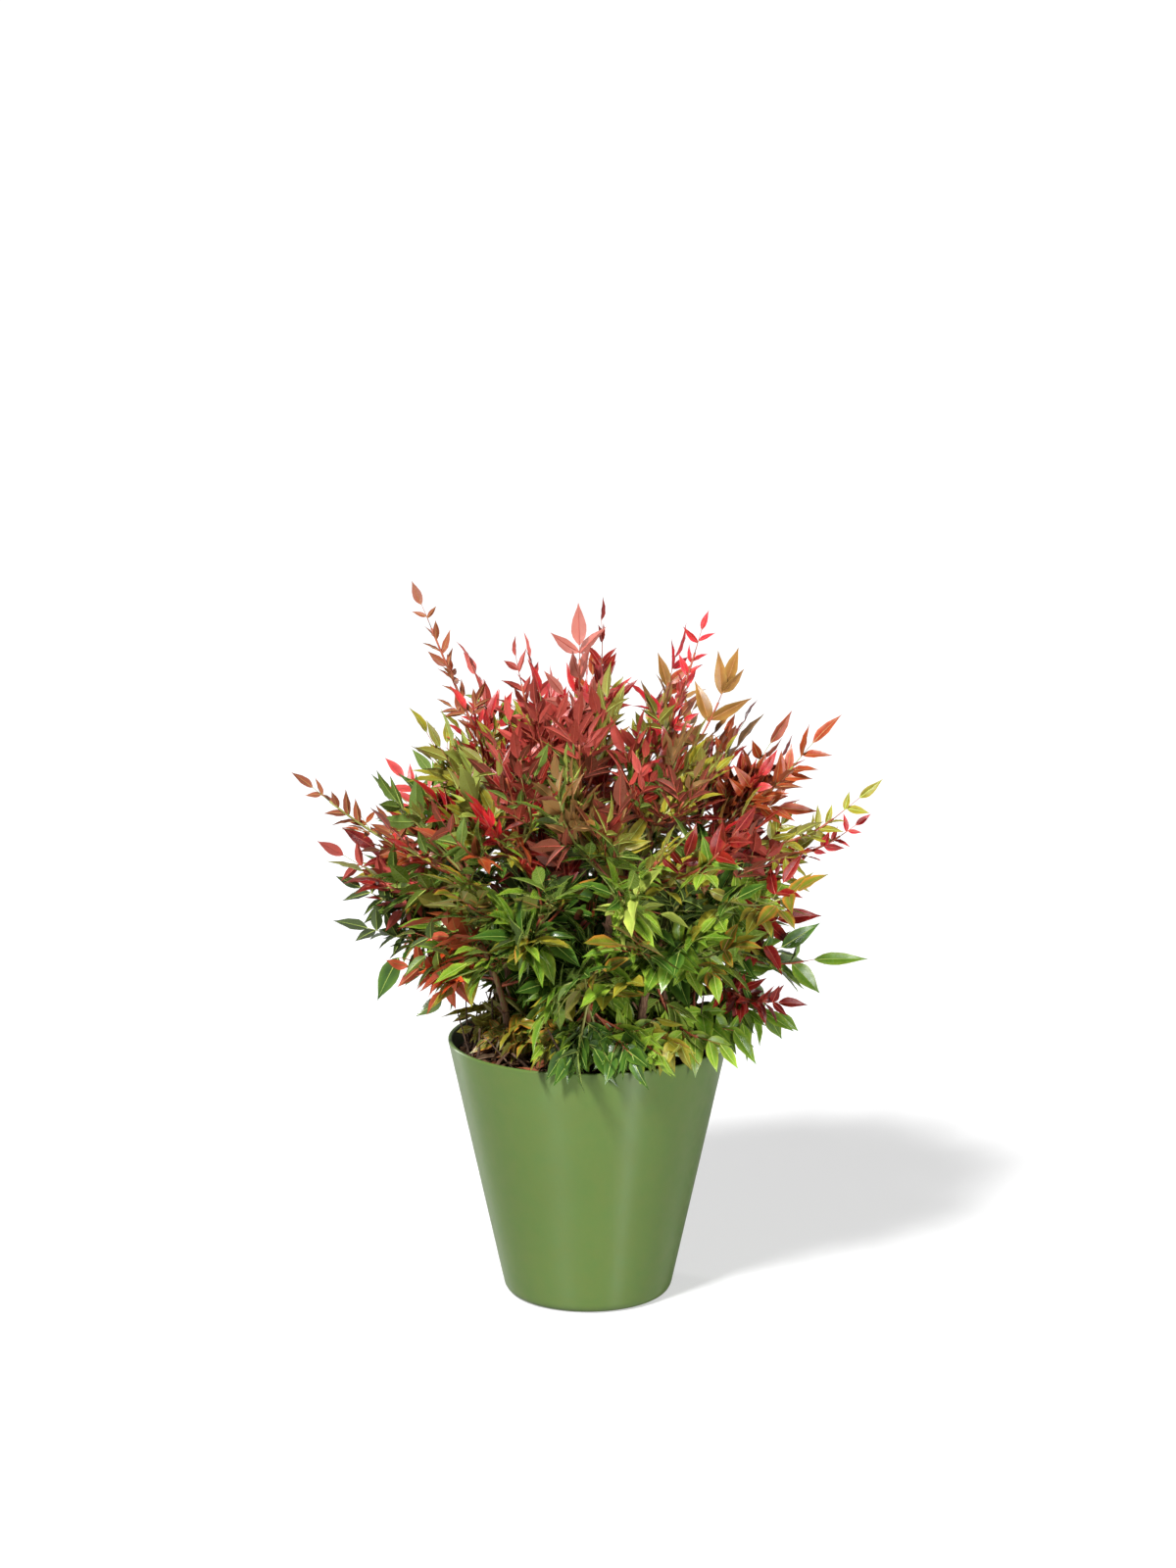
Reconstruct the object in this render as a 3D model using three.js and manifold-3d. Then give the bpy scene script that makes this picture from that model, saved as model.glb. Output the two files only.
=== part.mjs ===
// A heavenly bamboo in a plain tapered pot. A clump of canes stands in the potting soil, and each cane
// ends where its foliage begins: a stem with feathered sprays, each of them a stalk with leaves in pairs
// and one at its end. Millimetres, +Z up. The origin is the centre of the pot's flat underside.
import * as THREE from "three";
import { mergeVertices } from "three/addons/utils/BufferGeometryUtils.js";
import Module from "manifold-3d";

const wasm = await Module();
wasm.setup();

// The pot.
const potHeight = 243;
const rimRadius = 130;
const footRadius = 77;
const footRound = 9;
const potWall = 4;
const potFloor = 6;
const potSides = 32;
const potSlope = (rimRadius - footRadius) / potHeight;

// The soil in it, and the gap that separate solids keep.
const soilTop = 230;
const fitGap = 0.3;

// The clump. Shoot 0 is the middle one, and the rest wind outwards from it by the golden angle.
const shootCount = 24;
const goldenAngle = Math.PI * (3 - Math.sqrt(5));
const firstBearing = 2.18;
const clumpRadius = 98;
const heart = new THREE.Vector3(0, 0, 385); // the middle of the crown
const tipReach = 128; // from the heart to a stem's tip
const lowestTip = 0.58; // how far below the heart the last tip lies, as a share of tipReach
const kneeShare = 0.55; // how much of a shoot's rise stands upright before it leans out
const caneFoot = 4.2;
const caneTip = 3.2;
const caneFlare = 0.45; // extra radius at the root flare, as a share
const flareShare = 0.25; // how much of a cane the root flare takes up
const caneLeast = 0.42; // the least and the greatest share of a shoot that is bare cane
const caneMost = 0.9;
const caneSides = 5;
const caneSteps = 4;
const stemFoot = 3;
const stemTip = 2.4;

// The sprays. The outer ones end evenly over the crown, wound round it by the golden angle, and the inner
// ones fill it in the same way. The collar lies round the pot's rim. Every spray's end points away from the
// fan's root.
const outerSprays = { count: 92, reach: 182, lowest: 0.78, turn: 0.4, first: 100 };
const innerSprays = { count: 16, reach: 128, lowest: 0.7, turn: 2.2, first: 500 };
const collar = { count: 10, near: 80, far: 112, height: 264, spread: 16, turn: 0.9, first: 1700 };
const collarSize = 0.8; // the size of its leaves, as a share
const fanRoot = new THREE.Vector3(0, 0, 270);
const tuckAbove = 0.12; // how much less the crown reaches up and down than sideways, as shares
const tuckBelow = 0.55;
const uneven = 0.08; // how much the reach of the even sprays differs, as a share
const sprayDraw = 0.28; // how far an even spray's end is drawn to the middle of its space, as a share
const bare = { bearing: 215, half: 43, below: 310 }; // the open part of the low crown: degrees, millimetres
const leaveHigh = 0.95; // where a spray leaves its shoot when it ends beside the shoot's tip
const leaveLow = 0.2; // and how far up the foliage it leaves when it ends so many degrees off, or more
const lowSwing = 32;
const shortest = 25; // no spray is left shorter than this
const stalkFoot = 1.4;
const stalkTip = 1.2;
const stalkSteps = 2; // the straight lengths that a stalk is built in

// The long sprays that stand out of the crown: where each one's tip lies, and the size of its leaves.
const firstLong = 900;
const broad = 1.25; // one with leaves of this size or more has a pair fewer
const longSprays = [
  { tip: [-158, 10, 662], size: 0.7 },
  { tip: [-69, -30, 624], size: 0.8 },
  { tip: [-9, -10, 657], size: 1.3 },
  { tip: [110, 10, 644], size: 0.75 },
  { tip: [141, -10, 613], size: 1.5 },
  { tip: [225, 0, 543], size: 1.1 },
  { tip: [264, -10, 482], size: 0.85 },
  { tip: [256, -20, 332], size: 1.25 },
  { tip: [-214, -60, 345], size: 1.35 },
  { tip: [-270, -10, 495], size: 0.75 },
  { tip: [110, 200, 540], size: 1 },
  { tip: [-60, 150, 600], size: 1 },
  { tip: [-30, -200, 545], size: 1 },
];

// The leaves. What differs with height goes from its low value at lowCrown to its high one at highCrown.
const lowCrown = 330;
const highCrown = 500;
const leafPairs = 3;
const outerPair = 0.86; // where the first and the last pair stand along their stalk, as shares
const innerPair = 0.3;
const pairGap = 2.4; // how far the leaves of a pair stand apart along their stalk
const leafLength = 60;
const sideLength = 0.93; // of a leaf in a pair, as a share of the length of the one at the end
const lengthSpread = 0.09;
const leafWidth = 0.42; // as shares of a leaf's length
const leafThick = 0.024;
const leafFold = 0.07;
const leafCurl = 0.1;
const leafBelly = 0.42; // where a leaf is widest
const leafOpen = { low: 54, high: 40, spread: 10, closer: 7 }; // degrees off the stalk, and less by each try
const leafTwist = 60; // degrees that a spray's leaves are turned round its stalk, at the most, each way
const longTwist = 0.4; // how much of that a long spray has, as a share
const leafLift = { least: 0.14, spread: 0.24 }; // how far a leaf leans to its upper face
const leafRise = { low: -0.2, high: 0.24 }; // how far it droops or stands up
const leafTilt = { spread: 24, inwards: 12 }; // degrees round its own midrib
const endFree = 0.2; // how much of lift and rise the end leaf and a long spray's leaves have, as a share
const leafSink = 0.5; // how far a leaf's root lies behind the middle of its stalk
const limbClear = 0.8; // the least gap between foliage and another solid
const leafClear = 0.1; // the least gap between a leaf and the rest of its mass
const leafTries = 6;
const spaceMargin = 0.6; // the least distance of foliage from the sides of its space
const smoothness = 0.005; // how far a fused mass may be off when its flat faces are merged

const up = new THREE.Vector3(0, 0, 1);
const radians = THREE.MathUtils.degToRad;
const mix = THREE.MathUtils.lerp;

// A number from 0 to 1 that depends only on the spray, the leaf and what it is used for.
function dice(spray, leaf, use) {
  let mixed = Math.imul(spray * 7919 + leaf * 104729 + use * 1299709 + 12345, 2654435761);
  mixed = Math.imul((mixed ^ (mixed >>> 15)) >>> 0, 2246822519);
  mixed = Math.imul((mixed ^ (mixed >>> 13)) >>> 0, 3266489917);
  return ((mixed ^ (mixed >>> 16)) >>> 0) / 4294967296;
}

const either = (spray, leaf, use) => 2 * dice(spray, leaf, use) - 1; // from -1 to 1

// A closed geometry as a solid that can be joined and cut.
function solidOf(geometry) {
  const bare = new THREE.BufferGeometry().setIndex(geometry.index);
  bare.setAttribute("position", geometry.getAttribute("position").clone());
  const merged = mergeVertices(bare, 1e-4);
  return new wasm.Manifold(
    new wasm.Mesh({
      numProp: 3,
      vertProperties: new Float32Array(merged.attributes.position.array),
      triVerts: new Uint32Array(merged.index.array),
    }),
  );
}

const largestBody = (solid) => solid.decompose().reduce((a, b) => (a.volume() > b.volume() ? a : b));

// The other way round. Only the largest body is kept, so loose scraps and sealed hollows drop out.
function geometryOf(solid) {
  const mesh = largestBody(largestBody(solid).asOriginal().simplify(smoothness)).getMesh();
  const geometry = new THREE.BufferGeometry();
  geometry.setAttribute("position", new THREE.BufferAttribute(mesh.vertProperties, 3));
  geometry.setIndex(new THREE.BufferAttribute(mesh.triVerts, 1));
  geometry.computeVertexNormals();
  return geometry;
}

// A tapering limb: a cylinder bent along a curve between two shares of its length, with its top edge twisted
// round it by an angle.
function limb(curve, from, to, radiusAt, sides, steps, twist = 0) {
  const geometry = new THREE.CylinderGeometry(1, 1, 1, sides, steps);
  const chord = curve.getPoint(to).sub(curve.getPoint(from));
  const level = new THREE.Vector3().crossVectors(chord, up);
  if (level.length() < 1e-3 * chord.length()) level.set(1, 0, 0);
  level.normalize();
  const places = geometry.getAttribute("position");
  for (let i = 0; i < places.count; i++) {
    const share = places.getY(i) + 0.5;
    const at = mix(from, to, share);
    const along = curve.getTangent(at);
    const side = level.clone().addScaledVector(along, -along.dot(level)).normalize();
    side.applyAxisAngle(along, twist);
    const top = new THREE.Vector3().crossVectors(side, along);
    const radius = radiusAt(share);
    const place = curve.getPoint(at);
    place.addScaledVector(side, places.getX(i) * radius);
    place.addScaledVector(top, places.getZ(i) * radius);
    places.setXYZ(i, place.x, place.y, place.z);
  }
  return geometry;
}

// A leaf of eight faces: a thin octahedron with its ends along the midrib, folded up at the edges and curled
// down at the tip.
function leafBlade(root, along, face, length) {
  const side = new THREE.Vector3().crossVectors(face, along).normalize();
  const normal = new THREE.Vector3().crossVectors(along, side).normalize();
  const geometry = new THREE.OctahedronGeometry(1);
  const places = geometry.getAttribute("position");
  for (let i = 0; i < places.count; i++) {
    const [x, y, z] = [places.getX(i), places.getY(i), places.getZ(i)].map(Math.round);
    const place = root.clone();
    place.addScaledVector(along, x > 0 ? length : x < 0 ? -leafSink : leafBelly * length);
    place.addScaledVector(side, (y * leafWidth * length) / 2);
    place.addScaledVector(normal, (z * leafThick * length) / 2);
    place.addScaledVector(normal, length * (Math.abs(y) * leafFold - (x > 0 ? leafCurl : 0)));
    places.setXYZ(i, place.x, place.y, place.z);
  }
  return geometry;
}

// A place in the crown: at a bearing, a height as a share of the reach, and so far off its heart.
function crownPlace(bearing, height, reach) {
  const level = reach * Math.sqrt(1 - height * height);
  const place = new THREE.Vector3(level * Math.cos(bearing), level * Math.sin(bearing), reach * height);
  return place.add(heart);
}

// A shoot's own curve: upright at the soil, then leaning out to its tip.
function shootOf(index) {
  const share = (index + 0.5) / shootCount;
  const bearing = firstBearing + index * goldenAngle;
  const foot = new THREE.Vector3(Math.cos(bearing), Math.sin(bearing), 0);
  foot.multiplyScalar(clumpRadius * Math.sqrt(share)).setZ(soilTop + fitGap);
  const tip = crownPlace(bearing, 1 - (1 + lowestTip) * share, tipReach);
  const knee = foot.clone().addScaledVector(up, kneeShare * (tip.z - foot.z));
  return { index, share, tip, curve: new THREE.QuadraticBezierCurve3(foot, knee, tip), sprays: [] };
}

const shoots = Array.from({ length: shootCount }, (_, index) => shootOf(index));

// How far inside a shoot's own space a place lies. The space is all that is nearer its tip than another's.
function insideSpace(shoot, place) {
  const own = place.distanceToSquared(shoot.tip);
  const depths = shoots
    .filter((other) => other !== shoot)
    .map((other) => (place.distanceToSquared(other.tip) - own) / (2 * other.tip.distanceTo(shoot.tip)));
  return Math.min(...depths);
}

// The cane ends where the shoot enters its own space, and the stem of its foliage starts there.
function whereFoliageStarts(shoot) {
  let at = caneLeast;
  while (at < caneMost && insideSpace(shoot, shoot.curve.getPoint(at)) < 2 * caneFoot) at += 0.01;
  return at;
}

// A spray grows from the shoot whose space it ends in. One that ends beside the shoot's tip leaves it near
// there, and one that ends further off leaves it lower down.
function addSpray(number, end, { draw = 0, size = 1, long = false } = {}) {
  const shoot = shoots.reduce((a, b) => (a.tip.distanceTo(end) < b.tip.distanceTo(end) ? a : b));
  const middleWay = shoot.tip.clone().sub(heart).setLength(end.distanceTo(heart));
  end.lerp(middleWay.add(heart), draw);
  const swing = end.clone().sub(heart).angleTo(shoot.tip.clone().sub(heart));
  const lowest = mix(shoot.start, 1, leaveLow);
  const from = shoot.curve.getPoint(mix(leaveHigh, lowest, Math.min(1, swing / radians(lowSwing))));
  if (from.distanceTo(end) < shortest) return;
  const outwards = end.clone().sub(fanRoot).normalize();
  const corner = end.clone().addScaledVector(outwards, -from.distanceTo(end) / 2);
  const curve = new THREE.QuadraticBezierCurve3(from, corner, end);
  const pairs = leafPairs + (long && size < broad ? 1 : 0);
  const high = THREE.MathUtils.clamp((end.z - lowCrown) / (highCrown - lowCrown), 0, 1);
  const twist = radians(leafTwist) * either(number, 0, 7) * (long ? longTwist : 1);
  shoot.sprays.push({ number, curve, pairs, long, high, twist, length: leafLength * Math.min(1, size) });
}

// Whether a place lies in the open part of the low crown.
function isBare(place) {
  const bearing = THREE.MathUtils.radToDeg(Math.atan2(place.y, place.x));
  const off = THREE.MathUtils.euclideanModulo(bearing - bare.bearing + 180, 360) - 180;
  return place.z < bare.below && Math.abs(off) < bare.half;
}

function addEvenSprays({ count, reach, lowest, turn, first }) {
  for (let i = 0; i < count; i++) {
    const height = 1 - (1 + lowest) * ((i + 0.5) / count);
    const tucked = 1 - Math.abs(height) * (height < 0 ? tuckBelow : tuckAbove);
    const far = reach * tucked * (1 + uneven * either(first + i, 0, 1));
    const end = crownPlace(turn + i * goldenAngle, height, far);
    if (!isBare(end)) addSpray(first + i, end, { draw: sprayDraw });
  }
}

function addCollar({ count, near, far, height, spread, turn, first }) {
  for (let i = 0; i < count; i++) {
    const bearing = turn + i * goldenAngle;
    const end = new THREE.Vector3(Math.cos(bearing), Math.sin(bearing), 0);
    end.multiplyScalar(mix(near, far, dice(first + i, 0, 2)));
    end.setZ(height + spread * either(first + i, 0, 3));
    if (!isBare(end)) addSpray(first + i, end, { size: collarSize });
  }
}

function addLongSpray({ tip, size }, index) {
  const end = new THREE.Vector3(...tip);
  end.addScaledVector(end.clone().sub(fanRoot).normalize(), -leafLength * Math.min(1, size));
  addSpray(firstLong + index, end, { size, long: true });
}

// The places of a spray's leaves: one at its end, and pairs along the outer part of its stalk. Those of a
// long spray stand crosswise.
function leafPlaces(spray) {
  const places = [{ at: 1, hand: 0, rank: 0, turn: spray.long ? 90 : 0 }];
  const shift = pairGap / 2 / spray.curve.getLength();
  for (let pair = 0; pair < spray.pairs; pair++) {
    const at = mix(outerPair, innerPair, pair / (spray.pairs - 1));
    const turn = spray.long ? 90 * ((pair + 1) % 2) : 0;
    places.push({ at: at - shift, hand: -1, rank: 2 * pair + 1, turn });
    places.push({ at: at + shift, hand: 1, rank: 2 * pair + 2, turn });
  }
  return places;
}

// A place on a stalk as it is built.
function onStalk(curve, at) {
  const step = Math.min(stalkSteps - 1, Math.floor(at * stalkSteps));
  const [from, to] = [step, step + 1].map((ring) => curve.getPoint(ring / stalkSteps));
  return from.lerp(to, at * stalkSteps - step);
}

// One leaf. Each further try draws it closer to its stalk and tilts it anew.
function leafOf(spray, { at, hand, rank, turn }, attempt) {
  const roll = (use) => either(spray.number, rank, 10 * attempt + use);
  const along = spray.curve.getTangent(at);
  const across = new THREE.Vector3().crossVectors(along, up).normalize();
  const face = new THREE.Vector3().crossVectors(across, along).normalize();
  across.applyAxisAngle(along, spray.twist + radians(turn));
  face.applyAxisAngle(along, spray.twist + radians(turn));
  const opened = mix(leafOpen.low, leafOpen.high, spray.high) - leafOpen.closer * attempt;
  const open = hand * radians(opened + leafOpen.spread * roll(2));
  const way = along.clone().multiplyScalar(Math.cos(open)).addScaledVector(across, Math.sin(open));
  const free = hand && !spray.long ? 1 : endFree;
  way.addScaledVector(face, free * (leafLift.least + leafLift.spread * roll(3)));
  way.addScaledVector(up, free * mix(leafRise.low, leafRise.high, spray.high)).normalize();
  const tilt = radians(leafTilt.spread * roll(4) - leafTilt.inwards * hand);
  const length = spray.length * (hand ? sideLength : 1) * (1 + lengthSpread * roll(5));
  const root = onStalk(spray.curve, at).addScaledVector(along, hand ? 0 : -2 * leafSink);
  return leafBlade(root, way, face.clone().applyAxisAngle(way, tilt), length);
}

function staysInSpace(shoot, geometry) {
  const places = geometry.getAttribute("position");
  const corner = (i) => new THREE.Vector3().fromBufferAttribute(places, i);
  const corners = Array.from({ length: places.count }, (_, i) => corner(i));
  return corners.every((place) => insideSpace(shoot, place) > spaceMargin);
}

function boxesMeet(a, b, gap) {
  const [one, two] = [a.boundingBox(), b.boundingBox()];
  return [0, 1, 2].every((i) => one.min[i] < two.max[i] + gap && two.min[i] < one.max[i] + gap);
}

const isClear = (solid, others, gap) =>
  others.every((other) => !boxesMeet(solid, other, gap) || solid.minGap(other, 2 * gap) > gap);

// One mass: its stem, then each stalk that fits, with the leaves that fit on it. What fits stays in its
// shoot's own space and keeps clear of pot, soil and canes, and a leaf touches nothing but its own stalk.
function foliageOf(shoot, limbs) {
  const gap = fitGap / shoot.curve.getLength();
  const stem = limb(shoot.curve, shoot.start + gap, 1, (share) => mix(stemFoot, stemTip, share), 4, 2);
  const twigs = [solidOf(stem)];
  const leaves = [];
  for (const spray of shoot.sprays) {
    const radiusAt = (share) => mix(stalkFoot, stalkTip, share);
    const stalk = limb(spray.curve, 0, 1, radiusAt, 3, stalkSteps, spray.twist);
    const stalkSolid = solidOf(stalk);
    if (!staysInSpace(shoot, stalk) || !isClear(stalkSolid, limbs, limbClear)) continue;
    if (!isClear(stalkSolid, leaves, leafClear)) continue;
    for (const place of leafPlaces(spray)) {
      for (let attempt = 0; attempt < leafTries; attempt++) {
        const leaf = leafOf(spray, place, attempt);
        const solid = solidOf(leaf);
        if (!staysInSpace(shoot, leaf) || !isClear(solid, limbs, limbClear)) continue;
        if (!isClear(solid, [...twigs, ...leaves], leafClear)) continue;
        leaves.push(solid);
        break;
      }
    }
    twigs.push(stalkSolid);
  }
  return geometryOf(wasm.Manifold.union([...twigs, ...leaves]));
}

// The pot's wall, turned round its axis from a profile that starts and ends there.
function potGeometry() {
  const outside = (height) => footRadius + potSlope * height;
  const profile = new THREE.Path();
  profile.moveTo(0, 0);
  profile.lineTo(footRadius - footRound, 0);
  profile.quadraticCurveTo(footRadius, 0, outside(footRound), footRound);
  profile.lineTo(rimRadius, potHeight - potWall / 2);
  profile.quadraticCurveTo(rimRadius, potHeight, rimRadius - potWall / 2, potHeight);
  profile.quadraticCurveTo(rimRadius - potWall, potHeight, rimRadius - potWall, potHeight - potWall / 2);
  profile.lineTo(outside(potFloor) - potWall, potFloor);
  profile.lineTo(0, potFloor);
  return new THREE.LatheGeometry(profile.getPoints(2), potSides);
}

// The soil fills the pot to just under its rim, clear of the wall all round.
function soilGeometry() {
  const inside = (height) => footRadius + potSlope * height - potWall - 2 * fitGap;
  const low = potFloor + fitGap;
  const profile = [
    [0, low],
    [inside(low), low],
    [inside(soilTop), soilTop],
    [0, soilTop],
  ];
  return new THREE.LatheGeometry(
    profile.map(([x, y]) => new THREE.Vector2(x, y)),
    potSides,
  );
}

function caneGeometry(shoot) {
  const flare = (share) => 1 + caneFlare * Math.max(0, 1 - share / flareShare);
  const radiusAt = (share) => mix(caneFoot, caneTip, share) * flare(share);
  return limb(shoot.curve, 0, shoot.start, radiusAt, caneSides, caneSteps);
}

// A lathe turns about +Y, so it is stood up here.
const standing = (geometry) => geometry.rotateX(Math.PI / 2);

const finish = (color, roughness) => new THREE.MeshStandardMaterial({ color, roughness, metalness: 0 });
const potPlastic = finish(0x728d4c, 0.45);
const pottingSoil = finish(0x2a1f18, 1);
const caneBark = finish(0x4a3528, 0.9);
const foliageTints = [finish(0xa8323a, 0.5), finish(0x8f4a2c, 0.5), finish(0x4f7a2a, 0.45)];
const tintSteps = 3.2; // one in so many shoots has the first tint, as many the second, and the rest the last
const tintOf = (shoot) => foliageTints[Math.min(2, Math.floor(tintSteps * shoot.share))];
const numbered = (name, shoot) => name + "_" + String(shoot.index + 1).padStart(2, "0");

const plant = new THREE.Group();

function add(name, geometry, material) {
  const mesh = new THREE.Mesh(geometry, material);
  mesh.name = name;
  plant.add(mesh);
  return solidOf(geometry);
}

const pot = add("pot", standing(potGeometry()), potPlastic);
const soil = add("soil", standing(soilGeometry()), pottingSoil);

for (const shoot of shoots) {
  shoot.start = whereFoliageStarts(shoot);
  shoot.cane = add(numbered("cane", shoot), caneGeometry(shoot), caneBark);
}

longSprays.forEach(addLongSpray);
addEvenSprays(outerSprays);
addEvenSprays(innerSprays);
addCollar(collar);

for (const shoot of shoots) {
  const otherCanes = shoots.filter((other) => other !== shoot).map((other) => other.cane);
  add(numbered("foliage", shoot), foliageOf(shoot, [pot, soil, ...otherCanes]), tintOf(shoot));
}

export default plant;
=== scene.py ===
import math

import bpy
import numpy as np
from mathutils import Matrix, Vector, noise


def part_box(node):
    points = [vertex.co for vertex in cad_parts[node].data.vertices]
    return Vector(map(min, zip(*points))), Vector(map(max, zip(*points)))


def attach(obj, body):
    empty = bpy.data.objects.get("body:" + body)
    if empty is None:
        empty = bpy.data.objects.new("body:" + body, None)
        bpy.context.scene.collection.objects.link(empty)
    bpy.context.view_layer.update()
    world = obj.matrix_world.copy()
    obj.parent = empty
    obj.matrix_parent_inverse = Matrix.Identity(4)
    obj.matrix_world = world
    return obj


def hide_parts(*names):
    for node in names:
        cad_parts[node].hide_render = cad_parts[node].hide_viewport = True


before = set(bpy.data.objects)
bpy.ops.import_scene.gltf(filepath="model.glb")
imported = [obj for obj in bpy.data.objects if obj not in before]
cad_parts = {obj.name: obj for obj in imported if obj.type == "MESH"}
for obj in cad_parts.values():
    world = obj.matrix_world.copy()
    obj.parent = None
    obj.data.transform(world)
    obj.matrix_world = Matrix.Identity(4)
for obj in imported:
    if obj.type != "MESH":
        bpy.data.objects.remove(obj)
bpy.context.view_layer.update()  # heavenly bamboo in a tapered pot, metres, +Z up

caneNodes = sorted(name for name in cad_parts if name.startswith("cane_"))
foliageNodes = sorted(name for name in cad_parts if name.startswith("foliage_"))
up = Vector((0, 0, 1))
fullTurn = 2 * math.pi


# small helpers

def mix(a, b, share):
    return a + (b - a) * share


def ramp(value, low, high):  # 0 below low, 1 above high
    return min(1.0, max(0.0, (value - low) / (high - low)))


def around(bearing, far, height):
    return Vector((far * math.cos(bearing), far * math.sin(bearing), height))


def turned(vector, degrees, axis):
    return Matrix.Rotation(math.radians(degrees), 3, axis) @ vector


def square(vector, along):  # the part of a vector that stands square to a way
    return (vector - along * vector.dot(along)).normalized()


def colour(red, green, blue):  # screen values from 0 to 255, as linear light
    light = [(value / 255) ** 2.2 for value in (red, green, blue)]
    return (*light, 1)


def deselect():
    if bpy.context.object and bpy.context.object.mode != "OBJECT":
        bpy.ops.object.mode_set(mode="OBJECT")
    bpy.ops.object.select_all(action="DESELECT")


def dress(piece, material, slot, *nodes):  # every piece rides on the one body
    piece.data.materials.clear()
    piece.data.materials.append(material)
    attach(piece, "root")
    if nodes:
        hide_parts(*nodes)


def joined(name, points, faces, uv=None, smooth=True):  # many small things as one mesh, from arrays
    mesh = bpy.data.meshes.new(name)
    mesh.from_pydata(np.asarray(points).tolist(), [], faces)
    mesh.polygons.foreach_set("use_smooth", np.full(len(faces), smooth))
    if uv is not None:
        corners = np.concatenate([np.asarray(face) for face in faces])
        layer = mesh.uv_layers.new(name="UVMap")
        layer.uv.foreach_set("vector", np.asarray(uv, np.float32)[corners].ravel())
    mesh.update()
    piece = bpy.data.objects.new(name, mesh)
    bpy.context.scene.collection.objects.link(piece)
    return piece


class Tubes:  # tapering tubes that are gathered into one mesh
    def __init__(self):
        self.points, self.faces = [], []

    def add(self, line, radii, sides):
        first, last = len(self.points), len(line) - 1
        chord = (line[-1] - line[0]).normalized()
        upright = abs(chord.z) > 0.99
        level = Vector((1, 0, 0)) if upright else chord.cross(up)
        for i, place in enumerate(line):
            along = (line[min(i + 1, last)] - line[max(i - 1, 0)]).normalized()
            side = square(level, along)
            top = side.cross(along)
            for k in range(sides):
                turn = fullTurn * k / sides
                self.points.append(place + (side * math.sin(turn) + top * math.cos(turn)) * radii[i])
        for i in range(last):
            for k in range(sides):
                a, b = first + i * sides + k, first + i * sides + (k + 1) % sides
                self.faces.append((a, a + sides, b + sides, b))
        end = first + last * sides
        self.faces.append(tuple(range(first, first + sides)))
        self.faces.append(tuple(range(end + sides - 1, end - 1, -1)))


# shader nodes: a value that is an output is linked, and a plain value is set

def plug(tree, value, socket):
    if isinstance(value, bpy.types.NodeSocket):
        tree.links.new(value, socket)
    else:
        socket.default_value = value


def wire(tree, node, **sockets):
    for key, value in sockets.items():
        plug(tree, value, node.inputs[key.replace("_", " ")])


def put(tree, kind, **settings):  # a node with its settings and what goes into its sockets
    node = tree.nodes.new(kind)
    for key in [key for key in settings if hasattr(node, key)]:
        setattr(node, key, settings.pop(key))
    wire(tree, node, **settings)
    return node


def sums(tree, operation, a, b=0.0):
    node = put(tree, "ShaderNodeMath", operation=operation)
    plug(tree, a, node.inputs[0])
    plug(tree, b, node.inputs[1])
    return node.outputs[0]


def blendColours(tree, factor, a, b):
    node = put(tree, "ShaderNodeMix", data_type="RGBA")
    for index, value in ((0, factor), (6, a), (7, b)):  # the sockets that this node has for colours
        plug(tree, value, node.inputs[index])
    return node.outputs[2]


def carried(tree, value, fromLow, fromHigh, low=0.0, high=1.0):  # from one range to another
    ends = {"From_Min": fromLow, "From_Max": fromHigh, "To_Min": low, "To_Max": high}
    return put(tree, "ShaderNodeMapRange", Value=value, **ends).outputs[0]


def noiseAt(tree, place, scale, detail, roughness):
    node = put(tree, "ShaderNodeTexNoise", Vector=place, Scale=scale, Detail=detail, Roughness=roughness)
    return node.outputs["Fac"]


def ownPlace(tree, kind="Object"):
    return put(tree, "ShaderNodeTexCoord").outputs[kind]


# node groups that several materials share

def nodeGroup(name, outputs, **inputs):  # a socket named Colour holds a colour, the others a number
    group = bpy.data.node_groups.new(name, "ShaderNodeTree")
    for way, labels in (("INPUT", inputs), ("OUTPUT", outputs)):
        for label in labels:
            kind = "NodeSocketColor" if label == "Colour" else "NodeSocketFloat"
            socket = group.interface.new_socket(label, in_out=way, socket_type=kind)
            if way == "INPUT":
                socket.default_value = inputs[label]
    return group, group.nodes.new("NodeGroupInput").outputs, group.nodes.new("NodeGroupOutput")


mottle = {
    "broadNoise": (2.0, 0.5),  # its detail and roughness
    "fineNoise": (3.0, 0.6),
    "finer": 7.0,  # how much finer the small patches are than the broad ones
    "broadSpan": (0.32, 0.68),  # the part of the noise that makes the patches
    "fineSpan": (0.3, 0.7),
    "hueDrift": 0.04,
}


def mottleGroup():  # soft patches in two sizes: a colour that drifts, a roughness and a height
    first = {"Colour": (1, 1, 1, 1), "Scale": 60.0, "Drift": 0.3, "Low": 0.3, "High": 0.45}
    group, given, end = nodeGroup("mottle", ("Colour", "Roughness", "Height"), **first)
    place = ownPlace(group)
    broad = noiseAt(group, place, given["Scale"], *mottle["broadNoise"])
    closer = sums(group, "MULTIPLY", given["Scale"], mottle["finer"])
    fine = noiseAt(group, place, closer, *mottle["fineNoise"])
    patches = carried(group, broad, *mottle["broadSpan"], -1.0, 1.0)
    value = sums(group, "ADD", sums(group, "MULTIPLY", patches, given["Drift"]), 1.0)
    hue = sums(group, "MULTIPLY", fine, mottle["hueDrift"])
    hue = sums(group, "ADD", hue, 0.5 - mottle["hueDrift"] / 2)
    tint = put(group, "ShaderNodeHueSaturation", Hue=hue, Value=value, Color=given["Colour"])
    rough = carried(group, fine, *mottle["fineSpan"], given["Low"], given["High"])
    wire(group, end, Colour=tint.outputs[0], Roughness=rough, Height=fine)
    return group


veins = {"slant": 0.22, "sharp": 3.0}


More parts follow.
